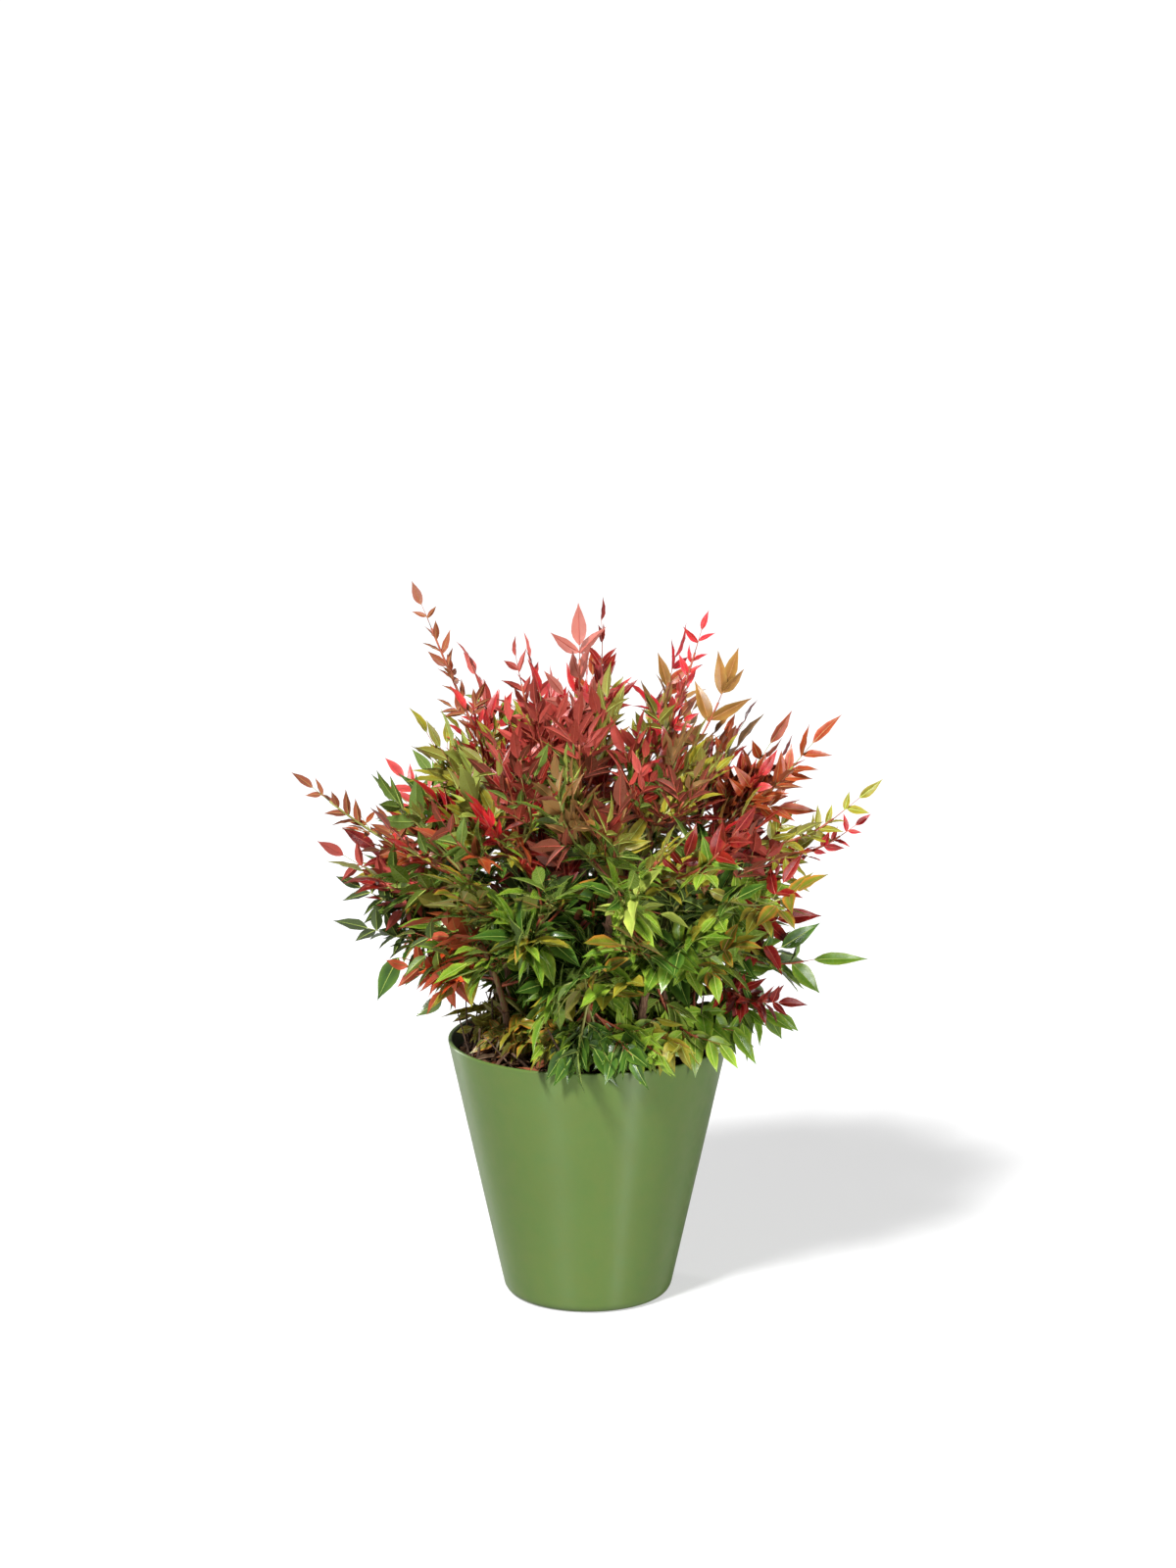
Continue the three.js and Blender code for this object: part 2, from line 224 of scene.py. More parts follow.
def leafVeinsGroup():  # U runs along a leaflet and V across it: side veins, and a mask for its margin
    group, given, end = nodeGroup("leafVeins", ("Height", "Margin"), Pairs=9.0, Margin=0.7)
    split = put(group, "ShaderNodeSeparateXYZ", Vector=ownPlace(group, "UV")).outputs
    offRib = sums(group, "SUBTRACT", split["Y"], 0.5)
    across = sums(group, "ABSOLUTE", sums(group, "MULTIPLY", offRib, 2.0))
    slanted = sums(group, "SUBTRACT", split["X"], sums(group, "MULTIPLY", across, veins["slant"]))
    turns = sums(group, "MULTIPLY", sums(group, "MULTIPLY", slanted, given["Pairs"]), fullTurn)
    ridge = sums(group, "POWER", sums(group, "ABSOLUTE", sums(group, "SINE", turns)), veins["sharp"])
    height = sums(group, "SUBTRACT", 1.0, ridge)
    wire(group, end, Height=height, Margin=carried(group, across, given["Margin"], 1.0))
    return group


furrowed = {
    "noise": (4.0, 0.65),  # its detail and roughness
    "ridges": (0.42, 0.6),  # the part of the noise that makes them
}


def barkGroup():  # long furrows up a cane: a mask that is 1 on the ridges, and a height
    group, given, end = nodeGroup("barkFurrows", ("Ridges", "Height"), Scale=500.0, Stretch=0.12)
    split = put(group, "ShaderNodeSeparateXYZ", Vector=ownPlace(group)).outputs
    height = sums(group, "MULTIPLY", split["Z"], given["Stretch"])
    place = put(group, "ShaderNodeCombineXYZ", X=split["X"], Y=split["Y"], Z=height).outputs[0]
    grain = noiseAt(group, place, given["Scale"], *furrowed["noise"])
    wire(group, end, Ridges=carried(group, grain, *furrowed["ridges"]), Height=grain)
    return group


groups = {"mottle": mottleGroup(), "veins": leafVeinsGroup(), "bark": barkGroup()}


def useGroup(tree, name, **sockets):
    return put(tree, "ShaderNodeGroup", node_tree=groups[name], **sockets).outputs


def blankMaterial(name, **sockets):
    material = bpy.data.materials.new(name)
    material.use_nodes = True
    tree = material.node_tree
    shader = tree.nodes["Principled BSDF"]
    wire(tree, shader, **sockets)
    return material, tree, shader


def mottledMaterial(name, shade, patches):
    material, tree, shader = blankMaterial(name)
    skin = useGroup(tree, "mottle", Colour=shade, **patches)
    wire(tree, shader, Base_Color=skin["Colour"], Roughness=skin["Roughness"])
    return material, tree, shader, skin


def bumpFrom(tree, shader, height, strength, distance):
    bump = put(tree, "ShaderNodeBump", Strength=strength, Distance=distance, Height=height)
    wire(tree, shader, Normal=bump.outputs[0])


# the pot

potLow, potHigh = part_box("pot")
pot = {
    "rimRadius": potHigh.x,
    "height": potHigh.z,
    "footRadius": 0.077,
    "footRound": 0.009,
    "wall": 0.004,
    "floor": 0.006,
    "steps": 144,
    "cornerSteps": 6,
    "lipSteps": 4,
    "outsideRings": (0.03, 8),  # the lowest, and how many
    "insideRings": (0.02, 6),  # how far below the rim the highest is, and how many
    "green": colour(87, 108, 54),
    "streak": (0.9, 0.25),  # how far its gloss is drawn out up the wall, and the quarter turn that it takes
    "gloss": 0.4,
    "patches": {"Scale": 9.0, "Drift": 0.035, "Low": 0.32, "High": 0.4},
    "grain": (900.0, 2.0, 0.5),  # its scale, detail and roughness
    "bump": (0.1, 0.0003),
}
potSlope = (pot["rimRadius"] - pot["footRadius"]) / pot["height"]
lathe = {"weld": 0.00002, "crease": 35}


def potOutside(height):
    return pot["footRadius"] + potSlope * height


def potMaterial():
    material, tree, shader, _ = mottledMaterial("potSatin", pot["green"], pot["patches"])
    streak, quarter = pot["streak"]
    wire(tree, shader, Specular_IOR_Level=pot["gloss"], Anisotropic=streak, Anisotropic_Rotation=quarter)
    grain = noiseAt(tree, ownPlace(tree), *pot["grain"])
    bumpFrom(tree, shader, grain, *pot["bump"])
    return material


def bend(a, corner, b, steps):  # a soft corner from a to b
    line = []
    for i in range(steps):
        s = (i + 1) / steps
        line.append(tuple((1 - s) ** 2 * a[k] + 2 * s * (1 - s) * corner[k] + s * s * b[k] for k in (0, 1)))
    return line


def spun(name, profile, steps):  # a profile of (radius, height) drawn from the axis, then spun round it
    deselect()
    bpy.ops.mesh.primitive_plane_add(size=0.001)
    piece = bpy.context.object
    piece.name = piece.data.name = name
    bpy.ops.object.mode_set(mode="EDIT")
    bpy.ops.mesh.select_all(action="SELECT")
    bpy.ops.mesh.merge(type="CENTER")  # one point is left
    first = profile[0]
    bpy.ops.transform.translate(value=(first[0], 0, first[1]))
    for before, after in zip(profile, profile[1:]):
        step = (after[0] - before[0], 0, after[1] - before[1])
        bpy.ops.mesh.extrude_region_move(TRANSFORM_OT_translate={"value": step})
    bpy.ops.mesh.select_all(action="SELECT")
    bpy.ops.mesh.spin(steps=steps, angle=fullTurn, center=(0, 0, 0), axis=(0, 0, 1))
    bpy.ops.mesh.select_all(action="SELECT")
    bpy.ops.mesh.remove_doubles(threshold=lathe["weld"])
    bpy.ops.mesh.normals_make_consistent(inside=False)
    bpy.ops.object.mode_set(mode="OBJECT")
    bpy.ops.object.shade_smooth_by_angle(angle=math.radians(lathe["crease"]))
    return piece


def makePot():
    rim, top, wall = pot["rimRadius"], pot["height"], pot["wall"]
    foot, corner = pot["footRadius"], pot["footRound"]
    lip = wall / 2
    lowest, outsideCount = pot["outsideRings"]
    belowRim, insideCount = pot["insideRings"]
    profile = [(0, 0), (foot - corner, 0)]
    profile += bend(profile[-1], (foot, 0), (potOutside(corner), corner), pot["cornerSteps"])
    profile += [(potOutside(height), height) for height in np.linspace(lowest, top - lip, outsideCount)]
    profile += bend(profile[-1], (rim, top), (rim - lip, top), pot["lipSteps"])
    profile += bend(profile[-1], (rim - wall, top), (rim - wall, top - lip), pot["lipSteps"])
    inside = np.linspace(top - belowRim, pot["floor"], insideCount)
    profile += [(potOutside(height) - wall, height) for height in inside]
    profile += [(0, pot["floor"])]
    dress(spun("pot_shell", profile, pot["steps"]), potMaterial(), "pot", "pot")


makePot()
print("pot spun")


# the potting soil, with bark chips on it

soilLow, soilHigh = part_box("soil")
soil = {
    "top": soilHigh.z,
    "bottom": soilLow.z,
    "gap": 0.0006,  # between it and the pot's wall
    "brim": 0.003,  # how far its edge lies below the solid's top
    "steps": 150,
    "rings": 44,
    "mound": 0.007,
    "relief": 0.005,
    "fade": 6,  # how sharply the lumps give way at the pot's wall
    "lumps": {"closeness": 70, "seed": 1.7, "fractal": (0.8, 2.1, 4)},
    "dark": colour(52, 38, 28),
    "patches": {"Scale": 160.0, "Drift": 0.5, "Low": 0.8, "High": 1.0},
    "bump": (0.8, 0.002),
}
chip = {
    "seed": 11,
    "count": 1500,
    "clear": 0.008,  # from the pot's wall
    "length": (0.004, 0.015),
    "width": (0.25, 0.5),  # as a share of its length
    "thick": (0.0008, 0.002),
    "tilt": (("Y", 0.3), ("X", 0.4)),
    "sections": (-0.5, -0.1, 0.5),  # where they stand along it
    "blunt": (0.45, 0.8),  # how full its ends are
    "ragged": 0.06,
    "lie": 0.6,  # how high its middle lies over the bed, as a share of its thickness
    "brown": colour(96, 66, 44),
    "patches": {"Scale": 90.0, "Drift": 0.6},
    "roughness": 0.85,
    "grain": {"Scale": 700.0, "Stretch": 0.4},
    "bump": (0.5, 0.0008),
}


def soilInside(height):
    return potOutside(height) - pot["wall"] - soil["gap"]


def bedHeight(x, y):
    share = min(1.0, math.hypot(x, y) / soilInside(soil["top"]))
    close, seed, fractal = soil["lumps"].values()
    lumps = noise.fractal(Vector((x * close, y * close, seed)), *fractal)
    lumps = lumps * soil["relief"] * (1 - share ** soil["fade"])
    return soil["top"] - soil["brim"] + soil["mound"] * (1 - share * share) + lumps


def soilMaterial():
    material, tree, shader, skin = mottledMaterial("pottingSoil", soil["dark"], soil["patches"])
    bumpFrom(tree, shader, skin["Height"], *soil["bump"])
    return material


def chipMaterial():
    material, tree, shader = blankMaterial("barkChips", Roughness=chip["roughness"])
    skin = useGroup(tree, "mottle", Colour=chip["brown"], **chip["patches"])
    wire(tree, shader, Base_Color=skin["Colour"])
    bumpFrom(tree, shader, useGroup(tree, "bark", **chip["grain"])["Height"], *chip["bump"])
    return material


def makeSoil():
    base, reach = soilInside(soil["bottom"]), soilInside(soil["top"])
    profile = [(0, soil["bottom"]), (base, soil["bottom"]), (reach, soil["top"] - soil["brim"])]
    profile += [(reach * (1 - (i + 1) / soil["rings"]), soil["top"]) for i in range(soil["rings"])]
    piece = spun("soil_bed", profile, soil["steps"])
    for vertex in piece.data.vertices:
        if vertex.co.z > soil["top"] - soil["brim"] / 2:
            vertex.co.z = bedHeight(vertex.co.x, vertex.co.y)
    dress(piece, soilMaterial(), "soil", "soil")


def makeChips():
    rng = np.random.default_rng(chip["seed"])
    points, faces = [], []
    for _ in range(chip["count"]):
        far = (soilInside(soil["top"]) - chip["clear"]) * math.sqrt(rng.random())
        bearing = rng.random() * fullTurn
        x, y = far * math.cos(bearing), far * math.sin(bearing)
        length = rng.uniform(*chip["length"])
        width = length * rng.uniform(*chip["width"])
        thick = rng.uniform(*chip["thick"])
        turn = Matrix.Rotation(rng.random() * fullTurn, 3, "Z")
        for axis, tilt in chip["tilt"]:
            turn = turn @ Matrix.Rotation(rng.normal() * tilt, 3, axis)
        middle = Vector((x, y, bedHeight(x, y) + thick * chip["lie"]))
        first = len(points)
        for section in chip["sections"]:
            full = 1 if section == chip["sections"][1] else rng.uniform(*chip["blunt"])
            for side, top in ((-0.5, -0.5), (0.5, -0.5), (0.5, 0.5), (-0.5, 0.5)):
                ragged = rng.uniform(-chip["ragged"], chip["ragged"])
                local = Vector(((section + ragged) * length, side * width * full, top * thick * full))
                points.append(middle + turn @ local)
        for ring in (0, 4):
            for k in range(4):
                a, b = first + ring + k, first + ring + (k + 1) % 4
                faces.append((a, b, b + 4, a + 4))
        faces += [tuple(first + k for k in (3, 2, 1, 0)), tuple(first + 8 + k for k in (0, 1, 2, 3))]
    dress(joined("bark_chips", points, faces, smooth=False), chipMaterial(), "soil")


makeSoil()
makeChips()
print("soil and chips laid")


# the shoots, by the same rule as the solids: shoot 0 is the middle one, and the rest wind outwards from it

crown = {
    "shoots": 24,
    "firstBearing": 2.18,
    "clumpRadius": 0.098,
    "heart": Vector((0, 0, 0.385)),
    "fanRoot": Vector((0, 0, 0.27)),  # every spray's end points away from here
    "tipReach": 0.128,
    "lowestTip": 0.58,
    "kneeShare": 0.55,
    "caneGap": 0.0003,  # between the soil and a cane
    "caneShare": (0.42, 0.9, 0.01),  # where a cane ends and its stem goes on: the least, the most, the step
    "clear": 0.0084,  # how far inside its own space each stem starts
    "lowHigh": (0.33, 0.5),  # the heights up to which a spray counts as low, and from which as high
    "tuck": (0.12, 0.55),  # how much less the crown reaches upwards and downwards than sideways
    "uneven": 0.08,  # how much the reach of the even sprays differs, as a share
    "leafReach": 0.06,
    "shortest": 0.025,  # no spray is left shorter than this
    "leave": (0.95, 0.2, 32),  # where a spray leaves its shoot: by the tip, and when it ends so far off
    "broad": 1.25,  # a long spray with leaflets of this size or more has fewer of them
    "bare": {"bearing": 215, "half": 43, "below": 0.31, "beyond": 0.09},  # where the low crown is open
    "sprays": [  # count, reach, lowest, turn, first number, draw to the middle of the shoot's space
        (92, 0.182, 0.78, 0.4, 100, 0.28),
        (16, 0.128, 0.7, 2.2, 500, 0.28),
        (18, 0.164, 0.6, 1.3, 1100, 0.0),
        (28, 0.142, 0.8, 3.1, 1300, 0.0),
        (28, 0.105, 0.8, 5.2, 1500, 0.0),
        (26, 0.07, 0.9, 4.1, 1600, 0.0),
    ],
    "longSprays": {"first": 900, "tips": [  # across, deep and up; the size of the leaflets; their tint
        (-0.158, 0.01, 0.662, 0.7, "terracotta"), (-0.069, -0.03, 0.624, 0.8, "dustyRose"),
        (-0.009, -0.01, 0.657, 1.3, "salmon"), (0.11, 0.01, 0.644, 0.75, "brightRed"),
        (0.141, -0.01, 0.613, 1.5, "bronze"), (0.225, 0, 0.543, 1.1, "terracotta"),
        (0.264, -0.01, 0.482, 0.85, "olive"), (0.256, -0.02, 0.332, 1.25, "midGreen"),
        (-0.214, -0.06, 0.345, 1.35, "deepGreen"), (-0.27, -0.01, 0.495, 0.75, "terracotta"),
        (0.11, 0.2, 0.54, 1, None), (-0.06, 0.15, 0.6, 1, None), (-0.03, -0.2, 0.545, 1, None),
    ]},
    "slimSprays": {"first": 950, "tips": [  # more of them, that are finer
        (0.015, 0.03, 0.65, 0.95, "darkRed"), (0.183, 0.02, 0.537, 0.95, "terracotta"),
        (0.258, 0, 0.451, 0.55, "crimson"), (0.222, -0.045, 0.354, 1.6, "deepGreen"),
        (0.208, -0.03, 0.272, 0.9, "midGreen"), (-0.229, -0.02, 0.362, 0.75, "deepGreen"),
        (-0.236, 0, 0.399, 0.85, "deepGreen"), (-0.245, -0.01, 0.431, 1, "dustyRose"),
        (-0.202, -0.04, 0.504, 1.4, "midGreen"), (-0.151, 0.01, 0.543, 1.2, "olive"),
        (0.2, 0.14, 0.5, 1, None), (0.06, 0.22, 0.47, 1, None), (-0.06, 0.23, 0.43, 1.1, None),
        (-0.17, 0.17, 0.49, 1, None), (-0.2, 0.13, 0.36, 1.2, None), (0.16, 0.19, 0.36, 1.2, None),
        (-0.12, 0.14, 0.6, 0.9, None), (0.09, 0.13, 0.61, 0.9, None), (0, 0.17, 0.58, 1, None),
        (0.14, -0.19, 0.49, 1.1, None), (-0.14, -0.18, 0.5, 1.1, None),
        (0.05, -0.2, 0.443, 1.3, "lime"), (-0.07, -0.22, 0.41, 1, None),
        (-0.12, -0.105, 0.52, 1.3, "lime"), (-0.02, -0.12, 0.54, 1.2, "lime"),
        (-0.012, -0.187, 0.266, 0.9, "deepGreen"), (0.046, -0.181, 0.266, 0.9, "deepGreen"),
        (0.076, -0.17, 0.264, 0.8, "leafGreen"), (0.104, -0.155, 0.268, 0.85, "olive"),
        (0.139, -0.124, 0.264, 0.9, "leafGreen"), (0.162, -0.09, 0.268, 0.85, "midGreen"),
        (0.017, -0.158, 0.262, 0.7, "midGreen"), (0.06, -0.152, 0.258, 0.75, "leafGreen"),
        (-0.05, -0.14, 0.256, 0.7, "olive"), (-0.085, -0.115, 0.258, 0.65, "rustEdged"),
        (-0.108, -0.085, 0.258, 0.6, "rustEdged"), (-0.126, -0.045, 0.26, 0.6, "olive"),
        (-0.128, 0, 0.262, 0.6, "rustEdged"), (0.128, 0.02, 0.262, 0.8, "midGreen"),
        (0.196, -0.045, 0.288, 0.55, "darkRed"), (-0.186, -0.085, 0.338, 0.85, "orangeRed"),
    ]},
    "collar": {  # low sprays round the pot's rim
        "first": 1700, "count": 38, "turn": 0.9, "size": 0.8,
        "far": (0.06, 0.1), "height": 0.27, "spread": 0.016,
    },
}
goldenAngle = math.pi * (3 - math.sqrt(5))


def dice(spray, leaf, use):  # from 0 to 1, by the spray, the leaf and what it is used for
    whole = 0xFFFFFFFF
    mixed = (spray * 7919 + leaf * 104729 + use * 1299709 + 12345) * 2654435761 & whole
    mixed = (mixed ^ (mixed >> 15)) * 2246822519 & whole
    mixed = (mixed ^ (mixed >> 13)) * 3266489917 & whole
    return (mixed ^ (mixed >> 16)) / 4294967296


def either(spray, leaf, use):  # from -1 to 1
    return 2 * dice(spray, leaf, use) - 1


class Arc:  # a quadratic curve through three control points
    def __init__(self, a, b, c):
        self.a, self.b, self.c = a, b, c

    def at(self, t):
        return self.a * (1 - t) ** 2 + self.b * 2 * t * (1 - t) + self.c * t * t

    def along(self, t):
        return ((self.b - self.a) * (1 - t) + (self.c - self.b) * t).normalized()

    def length(self):
        places = self.line(0, 1, 20)
        return sum((b - a).length for a, b in zip(places, places[1:]))

    def line(self, start, end, steps):
        return [self.at(mix(start, end, i / steps)) for i in range(steps + 1)]


def crownPlace(bearing, height, reach):
    return crown["heart"] + around(bearing, reach * math.sqrt(1 - height * height), reach * height)


def shootOf(index):
    share = (index + 0.5) / crown["shoots"]
    bearing = crown["firstBearing"] + index * goldenAngle
    foot = around(bearing, crown["clumpRadius"] * math.sqrt(share), soil["top"] + crown["caneGap"])
    tip = crownPlace(bearing, 1 - (1 + crown["lowestTip"]) * share, crown["tipReach"])
    knee = foot + up * crown["kneeShare"] * (tip.z - foot.z)
    return {"tip": tip, "curve": Arc(foot, knee, tip), "number": index}


shoots = [shootOf(index) for index in range(crown["shoots"])]


def insideSpace(shoot, place):  # how far inside the shoot's own space a place lies
    own = (place - shoot["tip"]).length_squared
    others = [other["tip"] for other in shoots if other is not shoot]
    return min(((place - tip).length_squared - own) / (2 * (tip - shoot["tip"]).length) for tip in others)


for shoot in shoots:
    start, latest, step = crown["caneShare"]
    while start < latest and insideSpace(shoot, shoot["curve"].at(start)) < crown["clear"]:
        start += step
    shoot["start"] = start


# canes with furrowed bark, rings where leaves once sat, and the stems that go on from them

cane = {
    "foot": 0.0042,
    "tip": 0.0032,
    "root": 0.006,  # how deep it goes into the soil
    "flare": 0.45,
    "flareParts": 5,  # the flare is the lowest of so many parts of the cane
    "overlap": 0.01,  # how far it goes on inside its stem, as a share
    "stemStart": 0.96,  # how thick the stem starts, as a share of the cane's tip
    "stemTip": 0.0017,
    "rings": 70,
    "sides": 16,
    "crease": 50,
    "furrow": 0.09,
    "stemFurrow": 0.03,
    "waves": ((3, 5, 1.0, 1.0), (5, -9, 2.3, 0.7)),  # furrows round it, turns up it, shift and strength
    "nodeEvery": 0.013,
    "nodeSwell": 0.16,
    "nodeLength": 0.13,  # as a share of the way to the next
    "nodeTurn": 2.4,  # how far round the cane the next one leans
    "nodeRound": 0.4,  # how much of the swelling goes all round
    "nodeShift": 0.37,  # from cane to cane
    "stemNumbers": 40,  # what the stems are numbered from
    "stubs": 5,
    "stubsFrom": 0.12,
    "stubRise": 1.1,
    "stubLength": (0.005, 0.008),  # the least, and how much more
    "stubRadii": (0.0026, 0.0014, 0.0009),
    "stubMiddle": 0.6,  # how far along it the middle one stands
    "stubSides": 6,
    "bark": colour(92, 64, 48),
    "ridge": colour(136, 104, 80),
    "stemRed": colour(120, 62, 44),
    "stemGreen": colour(118, 110, 56),
    "furrows": {"Scale": 650.0, "Stretch": 0.1},
    "bump": (0.7, 0.0006),
    "roughness": (0.85, 0.6),  # of the canes, and of the stems
}


def caneMaterial(name, low, high, roughness):
    material, tree, shader = blankMaterial(name, Roughness=roughness)
    furrows = useGroup(tree, "bark", **cane["furrows"])
    wire(tree, shader, Base_Color=blendColours(tree, furrows["Ridges"], low, high))
    bumpFrom(tree, shader, furrows["Height"], *cane["bump"])
    return material


def limbTube(curve, start, end, radii, name):  # a bevelled curve made a mesh, with its radii at the two ends
    deselect()
    a, b, c = curve.at(start), curve.at((start + end) / 2), curve.at(end)
    corner = (b - (a + c) / 4) * 2  # the control point of this part of the arc
    bpy.ops.curve.primitive_bezier_curve_add()
    limb = bpy.context.object
    limb.name = name
    limb.data.dimensions = "3D"
    limb.data.resolution_u = cane["rings"]
    limb.data.bevel_depth = 1
    limb.data.bevel_resolution = cane["sides"] // 2 - 2  # a bevel has twice as many sides, and four more
    limb.data.use_fill_caps = True
    ends = limb.data.splines[0].bezier_points
    for point, place, radius in zip(ends, (a, c), radii):
        point.handle_left_type = point.handle_right_type = "FREE"
        point.co, point.radius = place, radius
    ends[0].handle_left, ends[0].handle_right = a, a + (corner - a) * 2 / 3
    ends[1].handle_left, ends[1].handle_right = c + (corner - c) * 2 / 3, c
    bpy.ops.object.convert(target="MESH")
    return bpy.context.object


def barkRelief(limb, number, length, flare, furrow):  # furrows, a swelling at each node, and the root flare
    mesh = limb.data
    places = np.empty(len(mesh.vertices) * 3)
    mesh.vertices.foreach_get("co", places)
    sides = len(places) // 3 // (cane["rings"] + 1)
    rings = places.reshape(-1, sides, 3)
    centres = rings.mean(axis=1, keepdims=True)
    share = np.linspace(0, 1, len(rings))[:, None]
    turn = np.arange(sides)[None, :] * fullTurn / sides
    waves = [
        force * np.sin(count * turn + twist * share + shift * number)
        for count, twist, shift, force in cane["waves"]
    ]
    depth = sum(force for *_, force in cane["waves"])
    step = share * length / cane["nodeEvery"] + cane["nodeShift"] * number
    swell = np.exp(-((step % 1 - 0.5) / cane["nodeLength"]) ** 2) * cane["nodeSwell"]
    lean = 0.5 + 0.5 * np.cos(turn - np.floor(step) * cane["nodeTurn"])
    root = flare * np.clip(1 - cane["flareParts"] * share, 0, 1)
    scale = 1 + furrow * sum(waves) / depth + swell * (cane["nodeRound"] + lean) + root
    rings[:] = centres + (rings - centres) * scale[:, :, None]
    mesh.vertices.foreach_set("co", rings.ravel())


def addStubs(stubs, curve, number, end):  # what is left of old leaf stalks
    for k in range(cane["stubs"]):
        place = curve.at(mix(cane["stubsFrom"], end, (k + dice(number, k, 50)) / cane["stubs"]))
        turn = (k * cane["nodeTurn"] + number) % fullTurn
        out = around(turn, 1, cane["stubRise"]).normalized()
        length = cane["stubLength"][0] + cane["stubLength"][1] * dice(number, k, 51)
        line = [place, place + out * length * cane["stubMiddle"], place + out * length]
        stubs.add(line, cane["stubRadii"], cane["stubSides"])


def joinAll(pieces, name):
    deselect()
    for piece in pieces:
        piece.select_set(True)
    bpy.context.view_layer.objects.active = pieces[0]
    bpy.ops.object.join()
    piece = bpy.context.object
    piece.name = piece.data.name = name
    bpy.ops.object.transform_apply(location=True, rotation=True, scale=True)
    bpy.ops.object.shade_smooth_by_angle(angle=math.radians(cane["crease"]))
    return piece


def makeCanes():
    canes, stems = [], []
    stubs = Tubes()
    for shoot in shoots:
        curve, number, start = shoot["curve"], shoot["number"], shoot["start"]
        foot = Vector(curve.a)
        foot.z -= cane["root"]
        rooted = Arc(foot, curve.b, curve.c)
        foot, joint, tip = rooted.at(0), rooted.at(start), rooted.at(1)
        lower = limbTube(rooted, 0, start + cane["overlap"], (cane["foot"], cane["tip"]), f"cane{number}")
        barkRelief(lower, number, (joint - foot).length, cane["flare"], cane["furrow"])
        canes.append(lower)
        radii = (cane["tip"] * cane["stemStart"], cane["stemTip"])
        upper = limbTube(rooted, start, 1, radii, f"stem{number}")
        barkRelief(upper, number + cane["stemNumbers"], (tip - joint).length, 0, cane["stemFurrow"])
        stems.append(upper)
        addStubs(stubs, rooted, number, start)
    canes.append(joined("stubs", stubs.points, stubs.faces))
    bark = caneMaterial("caneBark", cane["bark"], cane["ridge"], cane["roughness"][0])
    dress(joinAll(canes, "canes"), bark, "canes", *caneNodes)
    smooth = caneMaterial("stemBark", cane["stemRed"], cane["stemGreen"], cane["roughness"][1])
    dress(joinAll(stems, "stems"), smooth, "canes", *foliageNodes)


makeCanes()
print("canes grown")


# the sprays: each grows from the shoot in whose space it ends

def isBare(place):  # whether a place lies in the open part of the low crown
    bare = crown["bare"]
    off = (math.degrees(math.atan2(place.y, place.x)) - bare["bearing"] + 180) % 360 - 180
    far = math.hypot(place.x, place.y)
    return place.z < bare["below"] and far > bare["beyond"] and abs(off) < bare["half"]


def sprayTo(number, end, draw=0.0, size=1.0, long=False, tint=None):
    shoot = min(shoots, key=lambda one: (one["tip"] - end).length)
    middleWay = (shoot["tip"] - crown["heart"]).normalized() * (end - crown["heart"]).length
    end = end.lerp(crown["heart"] + middleWay, draw)
    swing = (end - crown["heart"]).angle(shoot["tip"] - crown["heart"])
    high, low, lowSwing = crown["leave"]
    leave = mix(high, mix(shoot["start"], 1, low), min(1, math.degrees(swing) / lowSwing))
    start = shoot["curve"].at(leave)
    outwards = (end - crown["fanRoot"]).normalized()
    corner = end - outwards * (end - start).length / 2
    spray = {"number": number, "curve": Arc(start, corner, end), "long": long, "size": size, "tint": tint}
    spray["pairs"] = 4 if long and size < crown["broad"] else 3
    spray["high"] = ramp(end.z, *crown["lowHigh"])  # 0 low in the crown, 1 high in it
    return spray


def spraysOf():
    sprays = []
    for group in (crown["longSprays"], crown["slimSprays"]):
        for number, (x, y, z, size, tint) in enumerate(group["tips"], group["first"]):
            tip = Vector((x, y, z))
            outwards = (tip - crown["fanRoot"]).normalized()
            end = tip - outwards * crown["leafReach"] * min(1, size)
            sprays.append(sprayTo(number, end, 0, size, True, tint))
    for count, reach, lowest, turn, first, draw in crown["sprays"]:
        for index in range(count):
            height = 1 - (1 + lowest) * (index + 0.5) / count
            tuck = 1 - crown["tuck"][height < 0] * abs(height)
            far = reach * tuck * (1 + crown["uneven"] * either(first + index, 0, 1))
            end = crownPlace(turn + index * goldenAngle, height, far)
            if not isBare(end):
                sprays.append(sprayTo(first + index, end, draw))
    collar = crown["collar"]
    for index in range(collar["count"]):
        number = collar["first"] + index
        far = mix(*collar["far"], dice(number, 0, 2))
        height = collar["height"] + collar["spread"] * either(number, 0, 3)
        end = around(collar["turn"] + index * goldenAngle, far, height)
        if not isBare(end):
            sprays.append(sprayTo(number, end, 0, collar["size"]))
    return [spray for spray in sprays if (spray["curve"].c - spray["curve"].a).length > crown["shortest"]]
